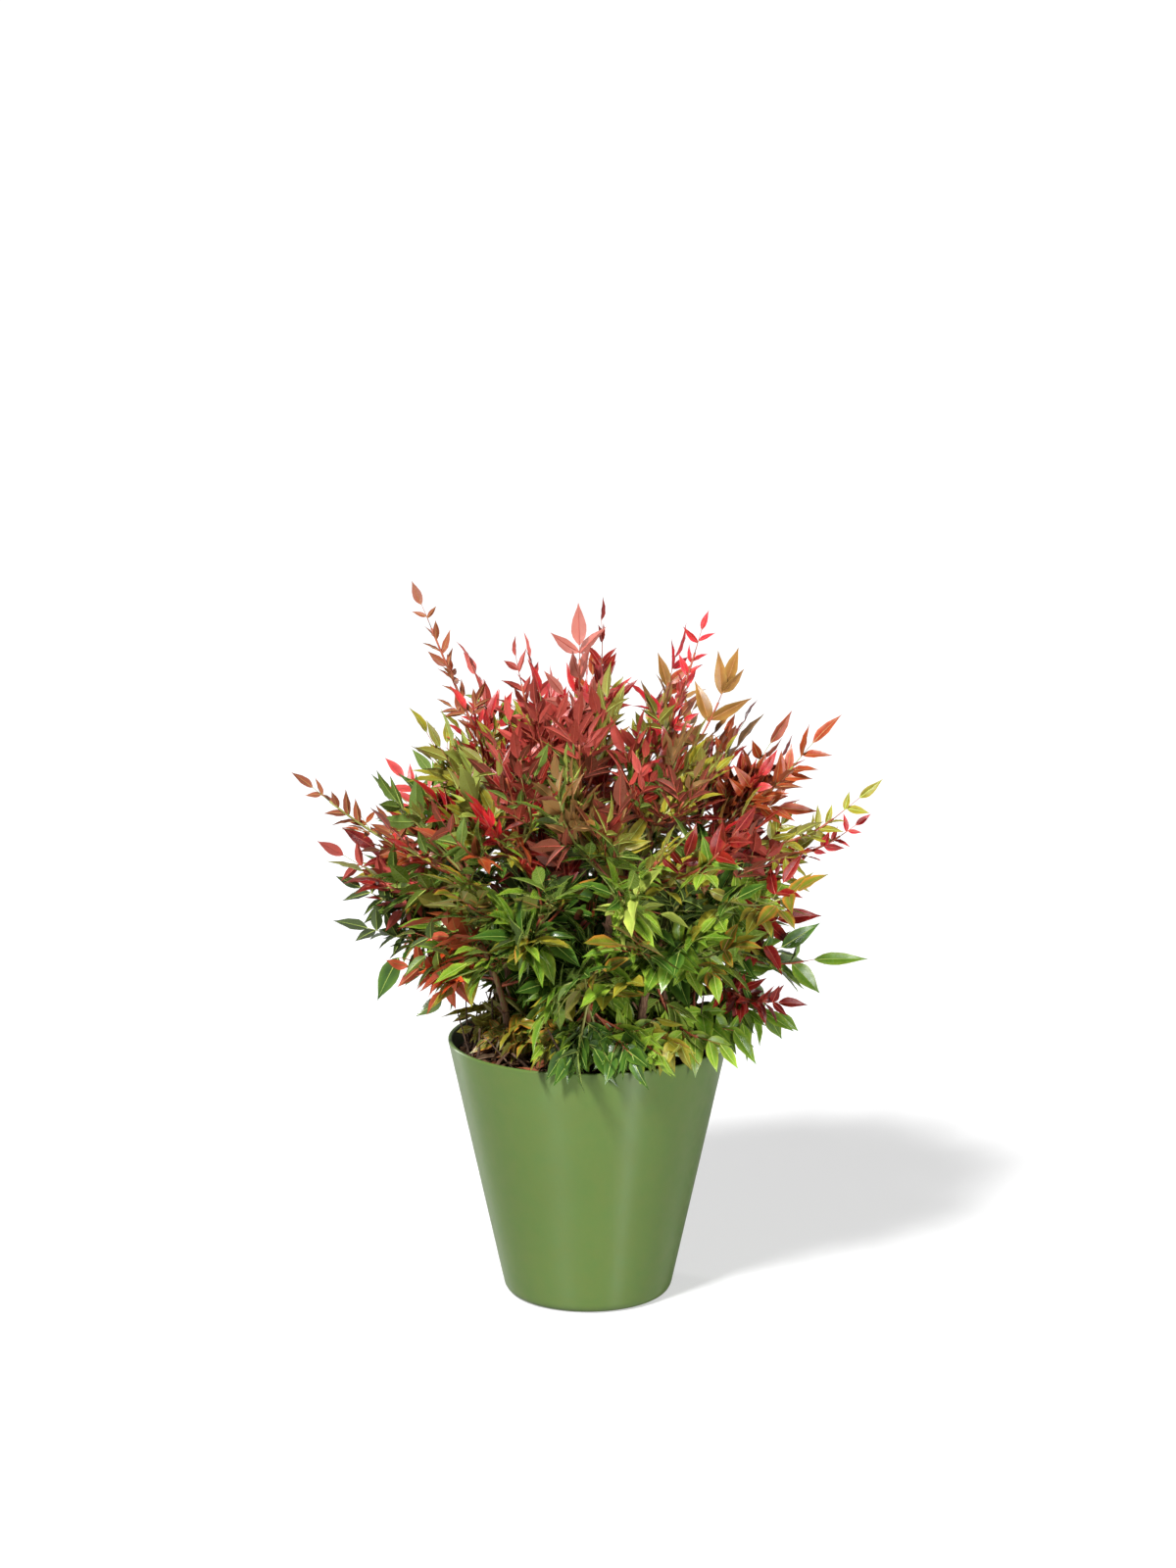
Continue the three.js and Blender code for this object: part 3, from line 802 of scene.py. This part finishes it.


# the autumn tints: layers by height, and patches that stand out of them, as seen from the front and the back;
# deep in the crown, darker tints paint the shade between the leaves

tintLayers = [  # from the top down: lowest height, tints
    (0.570, ("redRose", "dustyRose", "redRose", "crimson", "terracotta")),
    (0.500, ("redRose", "crimson", "dustyRose", "crimson", "redRose", "olive")),
    (0.440, ("crimson", "darkRed", "olive", "midGreen", "bronze", "darkRed")),
    (0.400, ("olive", "midGreen", "darkRed", "midGreen", "terracotta")),
    (0.000, (
        "midGreen", "leafGreen", "olive", "deepGreen", "leafGreen",
        "midGreen", "olive", "deepGreen", "rustEdged",
    )),
]
tintPatches = [  # across, height, spread, tints
    (-0.140, 0.590, 0.060, ("terracotta", "terracotta", "dustyRose")),
    (-0.010, 0.635, 0.036, ("salmon", "salmon", "dustyRose")),
    (0.085, 0.605, 0.045, ("brightRed", "redRose", "brightRed")),
    (0.142, 0.585, 0.040, ("bronze", "bronze", "terracotta")),
    (-0.125, 0.525, 0.040, ("lime", "lime", "olive", "redRose")),
    (-0.185, 0.480, 0.038, ("midGreen", "leafGreen", "deepGreen")),
    (-0.255, 0.475, 0.035, ("terracotta", "olive")),
    (-0.205, 0.430, 0.048, ("dustyRose", "redRose", "darkRed", "olive")),
    (0.105, 0.520, 0.036, ("bronze", "olive", "terracotta")),
    (0.185, 0.520, 0.055, ("terracotta", "redRose", "crimson", "darkRed")),
    (0.250, 0.480, 0.030, ("olive", "lime")),
    (0.215, 0.435, 0.045, ("darkRed", "crimson", "terracotta", "olive")),
    (0.150, 0.415, 0.035, ("darkRed", "darkRed", "crimson")),
    (-0.205, 0.350, 0.050, ("deepGreen", "midGreen", "deepGreen", "darkRed")),
    (-0.130, 0.335, 0.026, ("orangeRed", "orangeRed", "midGreen")),
    (0.160, 0.290, 0.022, ("darkRed", "dustyRose", "darkRed")),
    (0.195, 0.315, 0.066, ("olive", "darkRed", "deepGreen", "rustEdged", "deepGreen", "olive", "midGreen")),
    (-0.095, 0.255, 0.040, ("rustEdged", "olive", "rustEdged", "midGreen")),
]
innerShadeTints = [  # painted shade: darker tints deep in the crown, from the top down: lowest height, tints
    (0.450, ("darkRed", "crimson", "darkRed", "olive")),
    (0.370, ("olive", "deepGreen", "darkRed", "deepGreen")),
    (0.000, ("deepGreen", "deepGreen", "midGreen")),
]
tinting = {
    # leaves nearer than this to the heart of the crown take the darker tints of the painted shade
    "depth": 0.125,
    "together": 4,  # how many leaves deep in the crown share a tint
    "jitter": 0.014,
    "loyal": (0.45, 0.7),  # how many leaves keep to their spray's own tint, low in the crown and high in it
    "lowHigh": (0.4, 0.5),
}
eye = Vector((0, -2.9172, 1.032))  # where the camera stands


def layerOf(layers, height):
    return next(tints for lowest, tints in layers if height >= lowest)


def tintAt(place, spray, leaf):  # each spray reads the layers and patches a little off its own place
    depth = (place - crown["heart"]).length + tinting["jitter"] * either(spray, leaf, 35)
    # deep in the crown, darker tints paint the shade between the leaves
    if depth < tinting["depth"]:
        choice = layerOf(innerShadeTints, place.z)
        return choice[int(dice(spray, leaf // tinting["together"], 36) * len(choice))]
    front = Vector((place.x, -abs(place.y), place.z))
    seen = eye + (front - eye) * (-eye.y / (front.y - eye.y))
    x = seen.x + tinting["jitter"] * either(spray, 0, 31)
    z = seen.z + tinting["jitter"] * either(spray, 0, 32)
    nearest = min(tintPatches, key=lambda one: math.hypot(x - one[0], z - one[1]) / one[2])
    within = math.hypot(x - nearest[0], z - nearest[1]) < nearest[2]
    choice = nearest[3] if within else layerOf(tintLayers, z)
    loyal = dice(spray, leaf, 34) < mix(*tinting["loyal"], ramp(z, *tinting["lowHigh"]))
    return choice[int(dice(spray, 0 if loyal else leaf, 33) * len(choice))]


# leaves in pairs along each spray, and leaflets on them: where two values have no note, they are for low and
# for high in the crown

leaf = {  # angles in degrees, the rest as shares
    "outerPair": 0.86,
    "innerPair": 0.3,
    "pairGap": 0.0024,
    "betweenPairs": (0.94, 0.78, 0.6, 0.42),  # single leaflets on a long spray
    "singlesFrom": 51,  # what they are numbered from
    "outer": 5,  # the leaves with a lower number are the end one and the outer two pairs
    "twist": 60,
    "longTwist": 0.4,  # how much of the twist a long spray has
    "open": (54, 40),
    "openSpread": 10,
    "lift": (0.14, 0.24),  # the middle, and how much it differs
    "endFree": 0.2,
    "rise": (-0.2, 0.24),  # how much the leaves droop, and stand up
    "tilt": (24, 12),
    "sideLength": 0.93,
    "lengthSpread": 0.09,
}
leaflet = {
    "rows": (0.0, 0.07, 0.18, 0.31, 0.45, 0.6, 0.75, 0.88, 1.0),
    "columns": (0.0, 0.55, 1.0),  # from its rib to its margin
    "base": 0.86,  # the powers that give its outline: round at the base, drawn out to the tip
    "point": 1.48,
    "neck": 0.05,  # how wide it is at its base, as a share
    "inThrees": ((0.42, 1), (0.5, -1), (1.0, 0)),  # where they stand along a leaf, and on which side
    "inFives": ((0.26, 1), (0.33, -1), (0.64, 1), (0.7, -1), (1.0, 0)),
    "threesShare": 0.75,  # of the outer two pairs
    "length": (0.036, 0.030),
    "stalk": 0.005,
    "behind": 0.85,  # the size of those behind the end of a broad long spray
    "side": 0.86,  # and of those beside the end one
    "width": (0.43, 0.33),
    "widthSpread": 0.14,
    "spraySpread": 0.18,  # how much the size differs from spray to spray, and from leaflet to leaflet
    "spread": 0.2,
    "open": (58, 42),
    "openSpread": 20,
    "lift": (0.1, 0.24),
    "droop": (-0.22, 0.08),
    "longDroop": 0.3,  # how much of that a long spray has
    "lone": {  # sprays with one large leaflet at their end: its way, and its width
        907: (Vector((1, 0, 0.05)).normalized(), 0.25),
        908: (Vector((-0.5, 0, -0.87)).normalized(), 0.4),
        953: (Vector((0.82, 0, 0.5)).normalized(), 0.38),
    },
    "loneFace": Vector((0, -1, 0.4)),  # they turn their faces to the front
    "overRim": {"below": 0.28, "droop": -0.9},  # long sprays that end outside the pot's rim
    "outwards": (0.75, 0.35),  # how much the blades turn their faces away from the heart of the crown
    "roll": (36, 10),
    "fold": (0.2, 0.6),  # the least and the most
    "curl": (0.02, 0.24),
    "sickle": 0.07,
    "flatter": 0.35,  # how much the fold opens towards the margin
    "wave": 0.014,
    "waveLength": 17,
    "ribWidth": 0.00045,
    "ribSection": ((-1, 0.35), (0, -0.9), (1, 0.35)),
    "ribTaper": 1.25,
    "ribPatches": {"Scale": 60.0, "Drift": 0.08, "Low": 0.4, "High": 0.55},
}
twig = {
    "steps": 9,
    "sides": 5,
    "stalkFoot": 0.0013,
    "stalkTip": 0.0006,
    "nodeSwell": 0.0004,
    "nodeLength": 0.07,
    "fineRadii": (0.00048, 0.00048, 0.0003, 0.0003),
    "fineSides": 3,
    "sag": 0.06,
    "redShare": (0.35, 0.8),
    "patches": {"Scale": 60.0, "Drift": 0.15, "Low": 0.4, "High": 0.55},
    "red": colour(160, 82, 56),
    "green": colour(142, 142, 74),
}
keepOff = {"twigs": 0.002, "leaflets": 0.001, "soil": 0.004}


def blocked(place):  # whether a place lies in the pot's wall or in the soil
    far, margin = math.hypot(place.x, place.y), keepOff["twigs"]
    if place.z > pot["height"] + margin or far > potOutside(place.z) + margin:
        return False
    return far > potOutside(place.z) - pot["wall"] - margin or place.z < soil["top"] + keepOff["soil"]


def leafPlaces(spray):  # share along the stalk, side, number, turn: the pairs of a long spray stand crosswise
    places = [(1.0, 0, 0, 90 if spray["long"] else 0)]
    shift = leaf["pairGap"] / 2 / spray["curve"].length()
    for pair in range(spray["pairs"]):
        at = mix(leaf["outerPair"], leaf["innerPair"], pair / (spray["pairs"] - 1))
        turn = 90 * ((pair + 1) % 2) if spray["long"] else 0
        places += [(at - shift, -1, 2 * pair + 1, turn), (at + shift, 1, 2 * pair + 2, turn)]
    between = leaf["betweenPairs"] if spray["pairs"] > 3 else ()
    for pair, at in enumerate(between):
        rank, turn = leaf["singlesFrom"] + 2 * pair, 45 + 90 * (pair % 2)
        places += [(at - shift, -1, rank, turn), (at + shift, 1, rank + 1, turn)]
    return places


def leafBearings(spray, at, hand, rank, turn):  # root, way, face and length of one of the solids' leaves
    number, curve, high = spray["number"], spray["curve"], spray["high"]
    along = curve.along(at)
    across = along.cross(up).normalized()
    face = across.cross(along).normalized()
    turn += leaf["twist"] * either(number, 0, 7) * (leaf["longTwist"] if spray["long"] else 1)
    across, face = turned(across, turn, along), turned(face, turn, along)
    opened = hand * math.radians(mix(*leaf["open"], high) + leaf["openSpread"] * either(number, rank, 2))
    way = along * math.cos(opened) + across * math.sin(opened)
    free = 1 if hand and not spray["long"] else leaf["endFree"]  # the others keep to their way
    lift = leaf["lift"][0] + leaf["lift"][1] * either(number, rank, 3)
    way += (face * lift + up * mix(*leaf["rise"], high)) * free
    way.normalize()
    face = turned(face, leaf["tilt"][0] * either(number, rank, 4) - leaf["tilt"][1] * hand, way)
    reach = crown["leafReach"] * min(1, spray["size"]) * (leaf["sideLength"] if hand else 1)
    reach *= 1 + leaf["lengthSpread"] * either(number, rank, 5)
    return curve.at(at), way, square(face, way), reach


def leafletShares(spray, hand, rank):
    if rank >= leaf["singlesFrom"] or (spray["long"] and rank in (1, 2)):
        return [(0.0, 0)]
    if rank == 0 and spray["number"] in leaflet["lone"]:
        return [(1.0, 0)]
    if hand == 0 or rank < leaf["outer"] and dice(spray["number"], rank, 41) < leaflet["threesShare"]:
        return leaflet["inThrees"]
    return leaflet["inFives"]


def leafletDroop(spray):
    droop = mix(*leaflet["droop"], spray["high"])
    if not spray["long"]:
        return droop
    end = spray["curve"].c
    if end.z < leaflet["overRim"]["below"] and math.hypot(end.x, end.y) > pot["rimRadius"]:
        return leaflet["overRim"]["droop"]
    return droop * leaflet["longDroop"]


def leafletLength(spray, rank, reach):
    front = 1 if spray["number"] in leaflet["lone"] else 3  # how many leaves at its end are large
    large = spray["size"] if spray["size"] < crown["broad"] or rank < front else leaflet["behind"]
    length = mix(*leaflet["length"], spray["high"]) * large
    length *= 1 + leaflet["spraySpread"] * either(spray["number"], 0, 6)
    return min(length, reach - leaflet["stalk"])


def growLeaf(spray, place, woody, found):
    at, hand, rank, turn = place
    number, high = spray["number"], spray["high"]
    root, way, face, reach = leafBearings(spray, at, hand, rank, turn)
    shares = leafletShares(spray, hand, rank)
    length = leafletLength(spray, rank, reach)
    branch = leaflet["stalk"] if hand and len(shares) == 1 else max(leaflet["stalk"] * 2, reach - length)
    fine = Arc(root, root + way * branch * 0.5, root + way * branch - face * branch * twig["sag"])
    if blocked(fine.at(1)) or blocked(fine.at(0.5)):
        return
    woody.add(fine.line(0, 1, len(twig["fineRadii"]) - 1), twig["fineRadii"], twig["fineSides"])
    tint = spray["tint"] or tintAt(fine.at(1), number, rank)
    side = face.cross(way).normalized()
    outwards = (root - crown["fanRoot"]).normalized() * mix(*leaflet["outwards"], high)
    droop = leafletDroop(spray)
    for k, (share, lean) in enumerate(shares):
        roll = [either(number, rank * 10 + k, use) for use in range(60, 68)]
        opened = lean * math.radians(mix(*leaflet["open"], high) + leaflet["openSpread"] * roll[0])
        lead = fine.along(share) * math.cos(opened) + side * math.sin(opened)
        lift = leaflet["lift"][0] + leaflet["lift"][1] * roll[1]
        lead = (lead + face * lift + up * droop).normalized()
        rolled = turned(face, leaflet["roll"][0] * roll[2] - leaflet["roll"][1] * lean, lead)
        normal = square(rolled + outwards, lead)
        size = length * (1 if lean == 0 else leaflet["side"]) * (1 + leaflet["spread"] * roll[3])
        wide = mix(*leaflet["width"], high) * (1 + leaflet["widthSpread"] * roll[4])
        if rank == 0 and number in leaflet["lone"]:
            lead, wide = leaflet["lone"][number]
            normal = square(leaflet["loneFace"], lead)
        fold = mix(*leaflet["fold"], 0.5 + 0.5 * roll[5])
        curl = mix(*leaflet["curl"], 0.5 + 0.5 * roll[6])
        sickle = leaflet["sickle"] * roll[7]
        found.append((fine.at(share), lead, normal, size, wide, fold, curl, sickle, tint))


def growCrown():  # two kinds of twigs, and one row for each leaflet
    reds, greens, found = Tubes(), Tubes(), []
    steps = twig["steps"]
    for spray in spraysOf():
        line = spray["curve"].line(0, 1, steps)
        if any(blocked(place) for place in line[2:]):
            continue
        woody = reds if dice(spray["number"], 0, 40) < mix(*twig["redShare"], spray["high"]) else greens
        places = leafPlaces(spray)
        radii = []
        for i in range(steps + 1):
            near = min(abs(i / steps - place[0]) for place in places)
            swell = twig["nodeSwell"] * max(0, 1 - near / twig["nodeLength"])
            radii.append(mix(twig["stalkFoot"], twig["stalkTip"], i / steps) + swell)
        woody.add(line, radii, twig["sides"])
        for place in places:
            growLeaf(spray, place, woody, found)
    return reds, greens, found


def leafletMeshes(rows):  # many leaflets at once: half a blade on each side of the rib, and the rib
    u = np.array(leaflet["rows"])
    w = u ** leaflet["base"] * (1 - u) ** leaflet["point"]
    w = np.maximum(w / w.max(), leaflet["neck"] * (1 - u))
    root, lead, normal = (np.array([row[k] for row in rows], float)[:, None, :] for k in (0, 1, 2))
    size, wide, fold, curl, sickle = (np.array([row[k] for row in rows], float)[:, None] for k in range(3, 8))
    side = np.cross(normal, lead)

    def placed(along, across, over):
        bowed = across + size * sickle * along ** 2
        lift = over - size * curl * along ** 2
        return root + lead * (size * along)[..., None] + side * bowed[..., None] + normal * lift[..., None]

    points, uvs, faces = [], [], []
    rowCount, columns = len(u) - 1, len(leaflet["columns"])
    along = np.concatenate([np.repeat(u[:-1], columns), [1.0]])
    part = np.concatenate([np.tile(leaflet["columns"], rowCount), [0.0]])
    half = np.concatenate([np.repeat(w[:-1], columns), [0.0]]) * part * wide * size / 2
    for hand in (-1, 1):
        ripple = leaflet["wave"] * size * part * np.sin(along * leaflet["waveLength"] + 3 * hand)
        over = half * np.sin(fold) * (1 - leaflet["flatter"] * part) + ripple
        first = sum(block.shape[1] for block in points)
        points.append(placed(along, hand * half * np.cos(fold), over))
        uvs.append(np.stack([along, 0.5 + 0.5 * hand * part], axis=1))
        for r in range(rowCount - 1):
            for c in range(columns - 1):
                a = first + r * columns + c
                quad = (a, a + columns, a + columns + 1, a + 1)
                faces.append(quad if hand > 0 else quad[::-1])
        last = first + (rowCount - 1) * columns
        for c in range(columns - 1):
            tip = (last + c, last + columns, last + c + 1)
            faces.append(tip if hand > 0 else tip[::-1])
    blade = np.concatenate(points, axis=1)

    ribRows = u[:-1]
    thin = leaflet["ribWidth"] * (leaflet["ribTaper"] - ribRows)
    ribs = [placed(ribRows, across * thin, over * thin) for across, over in leaflet["ribSection"]]
    rib = np.stack(ribs, axis=2).reshape(len(rows), -1, 3)
    ribFaces, sides = [], len(leaflet["ribSection"])
    for r in range(len(ribRows) - 1):
        for c in range(sides):
            a, b = r * sides + c, r * sides + (c + 1) % sides
            ribFaces.append((a, b, b + sides, a + sides))
    return blade, np.concatenate(uvs), faces, rib, ribFaces


def repeated(faces, count, stride):
    return [tuple(corner + stride * i for corner in face) for i in range(count) for face in faces]


tints = {  # top side, margin, rib kind, roughness
    "salmon": ((188, 98, 90), (182, 76, 70), "pink", 0.46),
    "dustyRose": ((184, 62, 62), (200, 90, 80), "pink", 0.4),
    "redRose": ((184, 42, 46), (206, 78, 68), "pink", 0.34),
    "crimson": ((156, 24, 32), (184, 52, 46), "pink", 0.3),
    "darkRed": ((116, 26, 22), (144, 48, 34), "pink", 0.3),
    "brightRed": ((190, 34, 46), (206, 68, 70), "pink", 0.36),
    "terracotta": ((146, 60, 32), (168, 86, 44), "ochre", 0.34),
    "orangeRed": ((184, 62, 32), (208, 104, 46), "ochre", 0.32),
    "bronze": ((132, 92, 44), (152, 116, 58), "ochre", 0.36),
    "olive": ((134, 128, 40), (170, 152, 56), "lime", 0.3),
    "lime": ((150, 164, 72), (180, 186, 92), "lime", 0.3),
    "leafGreen": ((110, 142, 44), (152, 168, 62), "lime", 0.26),
    "midGreen": ((88, 121, 37), (132, 152, 54), "green", 0.24),
    "deepGreen": ((56, 86, 33), (88, 116, 43), "green", 0.2),
    "rustEdged": ((108, 116, 38), (206, 118, 50), "ochre", 0.3),
    "dryBrown": ((84, 58, 40), (108, 78, 52), "brown", 0.8),
    "dryRust": ((120, 62, 36), (140, 84, 50), "brown", 0.7),
}
ribKinds = {  # colour, material slot
    "pink": ((184, 82, 68), "foliage_top"),
    "ochre": ((172, 120, 70), "foliage_shoulder"),
    "lime": ((178, 192, 92), "foliage_skirt"),
    "green": ((156, 176, 82), "foliage_skirt"),
    "brown": ((120, 90, 62), "soil"),
}
leafUnder = {"tone": (0.4, 0.34, 0.2), "share": 0.14}
leafSkin = {
    "gloss": 0.42,
    "patches": {"Scale": 50.0, "Drift": 0.28},
    "marginFrom": 0.4,
    "margin": 0.7,
    "roughness": (-0.06, 0.1),  # how far it goes below and above the tint's own
    "veinPairs": 8.0,
    "bump": (0.12, 0.0003),
}


def leafMaterial(name, top, margin, gloss):
    material, tree, shader = blankMaterial(name, Specular_IOR_Level=leafSkin["gloss"])
    vein = useGroup(tree, "veins", Pairs=leafSkin["veinPairs"], Margin=leafSkin["marginFrom"])
    edge = sums(tree, "MULTIPLY", vein["Margin"], leafSkin["margin"])
    low, high = (gloss + more for more in leafSkin["roughness"])
    edged = blendColours(tree, edge, top, margin)
    skin = useGroup(tree, "mottle", Colour=edged, Low=low, High=high, **leafSkin["patches"])
    under = tuple(mix(top[k], leafUnder["tone"][k], leafUnder["share"]) for k in range(3)) + (1,)
    back = put(tree, "ShaderNodeNewGeometry").outputs["Backfacing"]
    shade = blendColours(tree, back, skin["Colour"], under)
    wire(tree, shader, Base_Color=shade, Roughness=skin["Roughness"])
    bumpFrom(tree, shader, vein["Height"], *leafSkin["bump"])
    return material


litter = {
    "seed": 23,
    "leaflets": 420,
    "far": (0.08, 1.0),
    "openShare": 0.35,
    "openSpread": 0.8,
    "depth": (0.001, 0.013),
    "rise": 0.28,
    "tilt": 0.4,
    "length": (0.016, 0.034),
    "width": (0.3, 0.42),
    "fold": (0.2, 1.0),
    "curl": (-0.25, 0.1),
    "sickle": 0.08,
    "rust": 0.3,
}
dryStalk = {
    "seed": 31,
    "count": 150,
    "steps": 5,
    "sides": 6,
    "length": (0.02, 0.07),
    "radius": (0.0008, 0.002),
    "sunk": 0.003,
    "lean": 0.5,
    "inwards": 5,  # how much more those far out lean to the middle
    "bow": 0.08,
    "taper": 0.1,  # at each step
    "dark": colour(54, 38, 30),
    "pale": colour(104, 80, 62),
    "roughness": 0.9,
}


def clearOfPot(blade):  # which leaflets keep out of the pot's wall and the soil
    far, high = np.hypot(blade[..., 0], blade[..., 1]), blade[..., 2]
    outer, margin = potOutside(high), keepOff["leaflets"]
    inWall = (high < pot["height"] + margin) & (far < outer + margin) & (far > outer - pot["wall"] - margin)
    inSoil = (high < soil["top"] - keepOff["soil"]) & (far < outer)
    return ~(inWall | inSoil).any(axis=1)


def litterSpot(rng):  # more often in the open part of the low crown
    middle = math.radians(crown["bare"]["bearing"])
    isOpen = rng.random() < litter["openShare"]
    bearing = rng.normal(middle, litter["openSpread"]) if isOpen else rng.random() * fullTurn
    far = soilInside(soil["top"]) * math.sqrt(rng.uniform(*litter["far"]))
    return far * math.cos(bearing), far * math.sin(bearing)


def litterRows():  # dead leaflets that lie on the bed
    rng = np.random.default_rng(litter["seed"])
    rows = []
    while len(rows) < litter["leaflets"]:
        x, y = litterSpot(rng)
        lead = around(rng.random() * fullTurn, 1, rng.normal() * litter["rise"]).normalized()
        root = Vector((x, y, bedHeight(x, y) + rng.uniform(*litter["depth"])))
        size = rng.uniform(*litter["length"])
        normal = square(Vector((rng.normal() * litter["tilt"], rng.normal() * litter["tilt"], 1)), lead)
        end = root + lead * size
        reach = soilInside(soil["top"]) - keepOff["soil"]
        if math.hypot(end.x, end.y) > reach or end.z < bedHeight(end.x, end.y) + keepOff["leaflets"]:
            continue
        kind = "dryRust" if rng.random() < litter["rust"] else "dryBrown"
        fold, curl, wide = (rng.uniform(*litter[key]) for key in ("fold", "curl", "width"))
        sickle = rng.normal() * litter["sickle"]
        rows.append((root, lead, normal, size, wide, fold, curl, sickle, kind))
    return rows


def makeDryStalks():  # what is left of old stems, leaning among the canes
    rng = np.random.default_rng(dryStalk["seed"])
    stalks = Tubes()
    for _ in range(dryStalk["count"]):
        x, y = litterSpot(rng)
        foot = Vector((x, y, bedHeight(x, y) - dryStalk["sunk"]))
        lean = Vector((rng.normal() * dryStalk["lean"], rng.normal() * dryStalk["lean"], 1))
        lean = (lean - Vector((x, y, 0)) * dryStalk["inwards"]).normalized()
        length = rng.uniform(*dryStalk["length"])
        top = foot + lean * length
        knee = (foot + top) / 2 + Vector((rng.normal(), rng.normal(), 0)) * length * dryStalk["bow"]
        thick = rng.uniform(*dryStalk["radius"])
        line = Arc(foot, knee, top).line(0, 1, dryStalk["steps"])
        radii = [thick * (1 - dryStalk["taper"] * i) for i in range(len(line))]
        stalks.add(line, radii, dryStalk["sides"])
    piece = joined("dry_stalks", stalks.points, stalks.faces)
    dress(piece, caneMaterial("dryStalk", dryStalk["dark"], dryStalk["pale"], dryStalk["roughness"]), "canes")


def makeFoliage():
    reds, greens, leaflets = growCrown()
    print("crown grown:", len(leaflets), "leaflets")
    leaflets += litterRows()
    for kind, tubes in (("red", reds), ("green", greens)):
        piece = joined("twigs_" + kind, tubes.points, tubes.faces)
        material = mottledMaterial("twigs_" + kind, twig[kind], twig["patches"])[0]
        dress(piece, material, "foliage_shoulder", *foliageNodes)
    ribPoints = {kind: [] for kind in ribKinds}
    for name, (top, margin, ribKind, gloss) in tints.items():
        rows = [row for row in leaflets if row[-1] == name]
        blade, uv, faces, rib, ribFaces = leafletMeshes(rows)
        free = clearOfPot(blade)
        blade = blade[free]
        ribPoints[ribKind].append(rib[free])
        count, stride = blade.shape[:2]
        faces = repeated(faces, count, stride)
        piece = joined("leaves_" + name, blade.reshape(-1, 3), faces, np.tile(uv, (count, 1)))
        material = leafMaterial("leaf_" + name, colour(*top), colour(*margin), gloss)
        dress(piece, material, ribKinds[ribKind][1], *foliageNodes)
    for kind, parts in ribPoints.items():
        shade, slot = ribKinds[kind]
        ribs = np.concatenate(parts)
        piece = joined("ribs_" + kind, ribs.reshape(-1, 3), repeated(ribFaces, len(ribs), ribs.shape[1]))
        material = mottledMaterial("rib_" + kind, colour(*shade), leaflet["ribPatches"])[0]
        dress(piece, material, slot, *foliageNodes)


makeFoliage()
makeDryStalks()
print("leaves laid")


# floor, light and camera

studio = {
    "floor": 60.0,
    "floorColour": (0.44, 0.44, 0.44, 1),
    "floorRoughness": 0.9,
    "floorLift": 0.5,  # how much lighter the floor looks than the light that it throws back
    "sky": (1.0, 1.0, 1.0, 1),
    "skyStrength": 0.15,
    "backdrop": 1.1,
    "suns": [  # name, direction that it comes from, softness in degrees, strength
        ("key", (-0.85, -1.3, 1.6), 10, 5.3),
        ("back", (0.9, 1.3, 1.2), 40, 0.35),
    ],
    "softboxes": [  # name, place, width, height, power
        ("stripRight", (1.03, -1.40, 0.35), 0.34, 1.1, 26),
        ("stripLeft", (-2.1, 1.7, 0.8), 0.5, 1.8, 34),
    ],
    "aim": (0, 0, 0.3),  # what the softboxes look at
    "lens": 74.6,
    "sensor": 36,
    "lookDown": 10.7,
}


def cameraSees(tree, usual, seen, surface):  # one shader for the camera, and another for all other rays
    choose = put(tree, "ShaderNodeMixShader")
    isSeen = put(tree, "ShaderNodeLightPath").outputs["Is Camera Ray"]
    for value, socket in zip((isSeen, usual, seen), choose.inputs):
        plug(tree, value, socket)
    plug(tree, choose.outputs[0], surface)


def makeFloor():
    deselect()
    bpy.ops.mesh.primitive_plane_add(size=studio["floor"])
    floor = bpy.context.object
    floor.name = "floor"
    material, tree, shader = blankMaterial("paleFloor", Roughness=studio["floorRoughness"])
    wire(tree, shader, Base_Color=studio["floorColour"])
    lift = put(tree, "ShaderNodeEmission", Strength=studio["floorLift"])
    both = put(tree, "ShaderNodeAddShader")
    plug(tree, shader.outputs[0], both.inputs[0])
    plug(tree, lift.outputs[0], both.inputs[1])
    surface = tree.nodes["Material Output"].inputs["Surface"]
    cameraSees(tree, shader.outputs[0], both.outputs[0], surface)
    floor.data.materials.append(material)


def makeSky():
    world = bpy.data.worlds.new("studio")
    world.use_nodes = True
    tree = world.node_tree
    sky = tree.nodes["Background"]
    wire(tree, sky, Color=studio["sky"], Strength=studio["skyStrength"])
    bare = put(tree, "ShaderNodeBackground", Color=studio["sky"], Strength=studio["backdrop"])
    cameraSees(tree, sky.outputs[0], bare.outputs[0], tree.nodes["World Output"].inputs["Surface"])
    bpy.context.scene.world = world


def addLight(name, kind, place, aim, **settings):
    way = (Vector(aim) - Vector(place)).to_track_quat("-Z", "Y").to_euler()
    bpy.ops.object.light_add(type=kind, location=place, rotation=way)
    lamp = bpy.context.object
    lamp.name = name
    for key, value in settings.items():
        setattr(lamp.data, key, value)


def makeLights():
    for name, place, softness, strength in studio["suns"]:
        addLight(name, "SUN", place, (0, 0, 0), angle=math.radians(softness), energy=strength)
    for name, place, width, height, power in studio["softboxes"]:
        size = {"shape": "RECTANGLE", "size": width, "size_y": height}
        addLight(name, "AREA", place, studio["aim"], energy=power, **size)


def makeCamera():
    bpy.ops.object.camera_add(location=eye, rotation=(math.radians(90 - studio["lookDown"]), 0, 0))
    camera = bpy.context.object
    camera.data.lens = studio["lens"]
    camera.data.sensor_width = studio["sensor"]
    bpy.context.scene.camera = camera
    bpy.context.scene.view_settings.view_transform = "Standard"


makeFloor()
makeSky()
makeLights()
makeCamera()
print("studio set")
